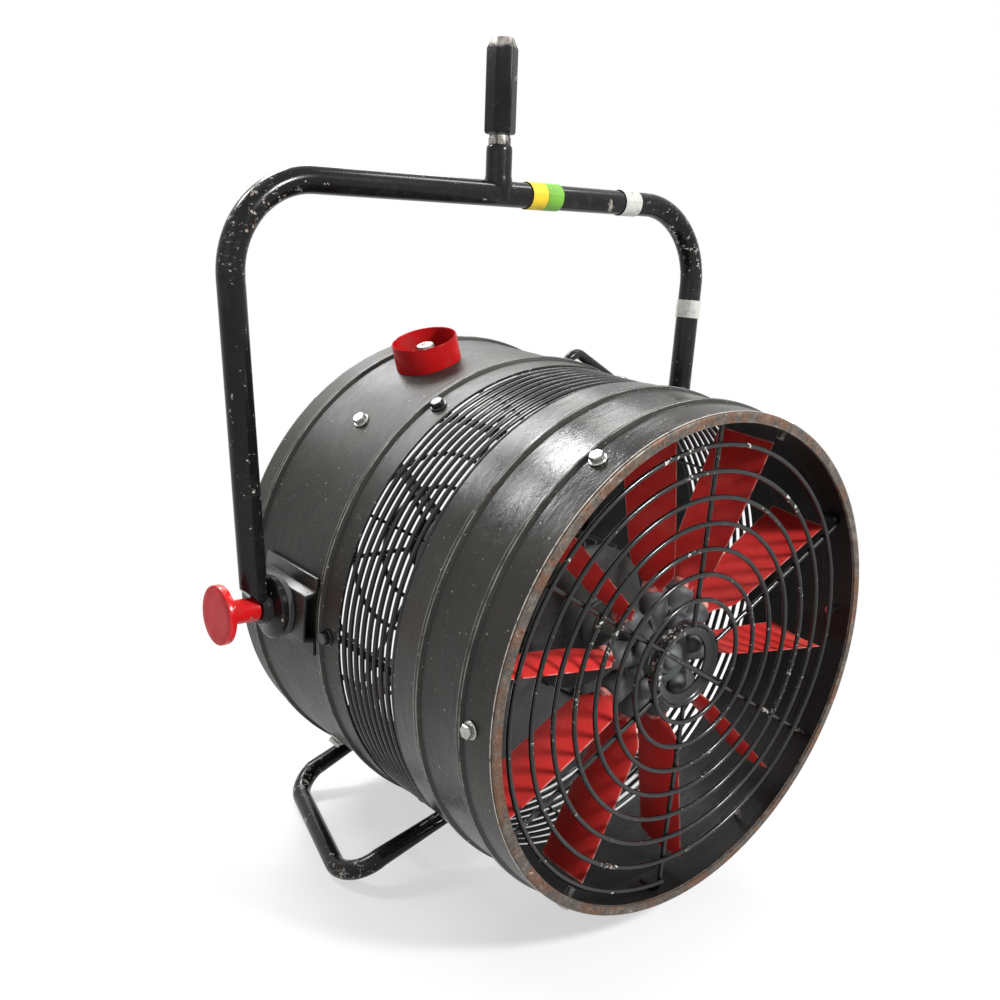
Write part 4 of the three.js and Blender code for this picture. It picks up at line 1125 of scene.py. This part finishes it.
for side, word in SIDES:
    bracket(word, side)
    lining(word, side)
    clamp_knob(word, side)
    pivot_nut(word, side)

# ---------------- the yoke
# One 25.4 mm tube bent to a wide hoop, its legs cut off at a slant on round friction eyes.
# The black enamel is scraped grey on both legs and chipped pale round the upper bends.

YOKE_TILT = math.radians(4.87)
YOKE_PLACE = Matrix.Translation(PIVOT) @ Matrix.Rotation(-YOKE_TILT, 4, "X")
YOKE_CORNERS = [(-272, 6), (-299, 386), (299, 386), (272, 6)]
SLANT = math.radians(42)


def in_yoke(x, z):
    """A place on the yoke's own plane, from millimetres off the pivot."""
    return YOKE_PLACE @ Vector((x / 1000, 0, z / 1000))


def yoke_wear(finish):
    use = 0.0
    for side in (-1, 1):
        use = finish.near(in_yoke(side * 290, 335), 0.02, 0.09) * 0.62 + use
        use = finish.near(in_yoke(side * 282, 150), 0.05, 0.16) * 0.45 + use
        use = finish.near(in_yoke(side * 225, 390), 0.02, 0.08) * 0.4 + use
    return use + finish.near(in_yoke(0, 392), 0.02, 0.07) * 0.35


def slant_cut(piece):
    """Cuts each leg off at a slant above its clamp screw, and closes the end."""
    mesh = bmesh.new()
    mesh.from_mesh(piece.data)
    for side in (-1, 1):
        normal = YOKE_PLACE.to_3x3() @ Matrix.Rotation(-side * SLANT, 3, "Y") @ Vector((0, 0, 1))
        near = {v for v in mesh.verts if v.co.x * side > 0.2 and v.co.z < AXIS + 0.32}
        leg = [v for v in mesh.verts if v in near] + [
            part for parts in (mesh.edges, mesh.faces) for part in parts
            if near.issuperset(part.verts)]
        cut(mesh, leg, in_yoke(side * 276, 12), -normal)
    bmesh.ops.recalc_face_normals(mesh, faces=mesh.faces)
    mesh.to_mesh(piece.data)
    mesh.free()
    smooth(piece)


def eye(side):
    """The round friction face that the leg is welded to, and the boss round the screw."""
    inner = CROWN + 7
    return turned([(6.6, inner), (28.7, inner), (29.5, inner + 0.8), (29.5, inner + 4.6),
                   (28.6, inner + 5.6), (27, inner + 6.6), (17, inner + 7.6),
                   (15.6, inner + 8.6), (15, inner + 10), (15, 268.8), (14.2, 269.9),
                   (6.6, 269.9)], PIVOT, (side, 0, 0), 80, loop=True)


yoke_paint = tube_paint("yoke enamel", yoke_wear, chips=0.715)
yoke_tube = grow("yoke_tube", bent_bar_tree(yoke_paint, 40), route_of(*[
    (in_yoke(*corner) - Vector(ON_AXIS)) * 1000 for corner in YOKE_CORNERS]),
    thickness=0.01265, bend=0.082, bend_steps=24)
slant_cut(yoke_tube)
up = (in_yoke(0, 1) - in_yoke(0, 0)).normalized()
stub = turned([(0, 380), (13, 380), (14.2, 397), (13.4, 401), (13, 404), (13, 427),
               (12.6, 430.6), (11.6, 432), (0, 432)], PIVOT, up)
eyes_and_stub = made("yoke_eyes", joined(eye(-1), eye(1), stub), yoke_paint)
fit(merged("yoke_frame", yoke_tube, eyes_and_stub), "yoke", "tube_black", "yoke")

# ---------------- the hanging spigot
# A hexagonal steel bar with a turned neck that sits in the stub and is worn bright at its
# chamfered nose and along its corners, where clamps have gripped it.

SPIGOT_STEEL = (0.4, 0.38, 0.35)
SPIGOT_POINTS = 48
SPIGOT_LEVELS = [(442.6, 12.2, 14.2), (444.6, 13.68, 15.8), (522.6, 13.68, 15.8),
                 (527.5, 12.3, 13.2), (533, 10.4, 10.6)]


def spigot_mesh():
    """The hexagon, whose corners are turned down to a round, and the neck below it. Each
    level is its height with the distance to its flats and the radius of its corners."""
    mesh = bmesh.new()
    rings = []
    for level, flat, corner_radius in SPIGOT_LEVELS:
        rings.append([])
        for k in range(SPIGOT_POINTS):
            angle = 2 * math.pi * k / SPIGOT_POINTS
            sector = (angle % (math.pi / 3)) - math.pi / 6
            size = min(flat / math.cos(sector), corner_radius)
            point = Vector((size * math.sin(angle), size * math.cos(angle), level)) / 1000
            rings[-1].append(mesh.verts.new(YOKE_PLACE @ point))
    neck = turned([(0, 416), (7.9, 416), (7.9, 432.4), (10.6, 432.4), (11, 433), (11, 439),
                   (10.2, 440), (10.2, 444), (0, 444)], PIVOT, up, 48)
    return joined(skin(mesh, rings), neck)


def spigot_paint():
    finish, colour, roughness, height = enamel("spigot enamel", TUBE_COAT, None, 0.3, 0.65,
                                               SPIGOT_STEEL, Specular_IOR_Level=0.16)
    level = finish.along(up)
    base = PIVOT.dot(up)
    scraped = finish.noise(70, 6, 0.75, stretch=(1, 1, 0.22), offset=5.5)
    nose = (level + scraped * 0.012).ramp(base + 0.529, base + 0.534)
    neck = level.ramp(base + 0.4445, base + 0.441) * scraped.ramp(0.44, 0.56) * 0.8
    bare = (nose * 0.7 + neck + scraped.ramp(0.66, 0.71) * 0.7).math("MINIMUM", 1.0)
    steel = finish.mix(scraped.ramp(0.35, 0.62), (0.1, 0.07, 0.05), SPIGOT_STEEL)
    colour = finish.mix(bare, colour, steel)
    return finish.surface(colour, roughness + bare * 0.12, height, Metallic=bare * 0.6)


fit(made("spigot_bar", spigot_mesh(), spigot_paint(), 0.4), "yoke", "tube_black", "spigot")

# ---------------- the marking tapes
# Turns of cloth tape that mark whose fan it is: yellow, green and two greys that have gone
# shabby at their edges.

TAPE_RADIUS = 13.35
TAPE_TURNS = 1.35
TAPE_THICKNESS = 0.22
TURN_STEPS = 72
GREY_CLOTH = (0.47, 0.47, 0.44)
LEG_SLOPE = 27 / 380
TAPES = [
    ("tape_yellow", (36, 386), (56, 386), (0.78, 0.55, 0.012), 0.25),
    ("tape_green", (56.4, 386), (77, 386), (0.16, 0.42, 0.03), 0.25),
    ("tape_grey_bar", (168, 386), (192, 386), GREY_CLOTH, 0.6),
    ("tape_grey_leg", (272 + LEG_SLOPE * 256, 262), (272 + LEG_SLOPE * 276, 282), GREY_CLOTH,
     0.6)]


def tape_sleeve(start, end):
    """Tape wound one turn and a bit, so that its end lies as a step on the turn below."""
    axis = (end - start).normalized()
    side = axis.orthogonal().normalized()
    other = axis.cross(side)
    mesh = bmesh.new()
    rng = random.Random(round(start.x * 1e4))
    steps = int(TURN_STEPS * TAPE_TURNS)
    waver = [rng.uniform(-0.25, 0.25) for _ in range(steps + 1)]
    rows = []
    for step in range(steps + 1):
        angle = 2 * math.pi * step / TURN_STEPS
        lift = TAPE_RADIUS + 0.3 * step / steps * TAPE_TURNS
        top = lift + TAPE_THICKNESS
        spoke = (side * math.cos(angle) + other * math.sin(angle)) / 1000
        edge = axis * ((0.15 * math.sin(angle * 3) + waver[step] * 0.5) / 2000)
        low, high = start + edge, end - edge
        rows.append([mesh.verts.new(p + spoke * r)
                     for p, r in ((low, lift), (high, lift), (high, top), (low, top))])
    return skin(mesh, rows)


def tape_finish(name, colour, dirt):
    finish = Finish(name, Specular_IOR_Level=0.35)
    weave = finish.noise(1500, 2, stretch=(1, 1, 0.4))
    grime = finish.noise(110, 6, 0.75, offset=float(len(name)))
    shade = finish.mix(finish.noise(30, 4).ramp(0.35, 0.7) * 0.6, colour,
                       tinted(colour, 0.62, 0.015))
    shade = finish.mix(grime.ramp(0.55, 0.68) * dirt, shade, (0.05, 0.047, 0.04))
    return finish.surface(shade, grime * 0.25 + 0.38, weave * 0.8 + grime * 0.6, 0.0002)


for name, start, end, colour, dirt in TAPES:
    cloth = tape_finish(f"{name} cloth", colour, dirt)
    fit(made(f"{name}_wrap", tape_sleeve(in_yoke(*start), in_yoke(*end)), cloth), "yoke",
        "tape_grey" if "grey" in name else name, name)

# ---------------- the studio
# A pale floor that runs out to white, a key from the upper front, one over the yoke, a weak
# fill and three behind for the sheen on the drum. The camera is at the photograph's place.

WHITE, BLACK = (1, 1, 1), (0, 0, 0)
SKY_LIGHT = (0.29, 0.29, 0.29)
LAMPS = [
    ("key", (0.55, -2.05, 2.0), 0.3, (0.42, 0.42), 94),
    ("over", (0.95, 0.0, 1.95), 0.6, (0.25, 0.5), 9),
    ("fill", (-2.2, -0.6, 1.3), 0.3, (1.6, 1.6), 5),
    ("back", (0.66, 1.75, 1.75), 0.4, (1.3, 0.8), 22),
    ("back_middle", (-0.02, 1.4, 1.9), 0.4, (0.5, 0.4), 29),
    ("back_left", (-0.75, 1.4, 1.75), 0.4, (0.45, 0.4), 23)]


def white_to_the_eye(graph):
    """1 for rays from the camera, from gloss and through glass, which see plain white."""
    rays = graph.node("ShaderNodeLightPath").socket.node.outputs
    camera, gloss, glass = (Link(graph, rays[f"Is {kind} Ray"])
                            for kind in ("Camera", "Glossy", "Transmission"))
    return camera.math("MAXIMUM", gloss).math("MAXIMUM", glass)


floor_mesh = bmesh.new()
bmesh.ops.create_circle(floor_mesh, cap_ends=True, segments=96, radius=14)
finish = Finish("studio floor", Roughness=1.0, Specular_IOR_Level=0.0, Emission_Strength=1.0)
x, y, z = finish.place()
outward = (x * x + y * y) ** 0.5
glow = white_to_the_eye(finish) * (outward.ramp(0.15, 0.6) * 0.42 + 0.58)
shade = finish.mix(outward.ramp(0.3, 1.6), (0.8, 0.8, 0.8), (0.72, 0.72, 0.72))
finish.set(Base_Color=finish.mix(glow, shade, BLACK), Emission_Color=finish.mix(
    glow, BLACK, WHITE))
made("studio_floor", floor_mesh, finish.material)

world = bpy.data.worlds.new("studio")
bpy.context.scene.world = world
world.use_nodes = True
sky = Graph(world.node_tree)
sky.feed(world.node_tree.nodes["Background"].inputs["Color"],
         sky.mix(white_to_the_eye(sky), SKY_LIGHT, WHITE))

for name, place, aim_height, size, power in LAMPS:
    lamp = bpy.data.lights.new(name, "AREA")
    lamp.shape, lamp.size, lamp.size_y, lamp.energy = "RECTANGLE", *size, power
    soft_box = bpy.data.objects.new(name, lamp)
    bpy.context.collection.objects.link(soft_box)
    soft_box.location = place
    aim = Vector((0, 0, aim_height)) - Vector(place)
    soft_box.rotation_euler = aim.to_track_quat("-Z", "Y").to_euler()

camera = bpy.data.objects.new("camera", bpy.data.cameras.new("camera"))
bpy.context.collection.objects.link(camera)
camera.data.lens, camera.data.sensor_width = 43.6, 36
camera.data.clip_start = 0.05
camera.matrix_world = Matrix(((0.7732, 0.0996, -0.6263, -0.7844),
                              (-0.6282, 0.2562, -0.7347, -0.8349),
                              (0.0873, 0.9615, 0.2606, 0.6687),
                              (0, 0, 0, 1))).normalized()
bpy.context.scene.camera = camera
bpy.context.scene.view_settings.view_transform = "Standard"
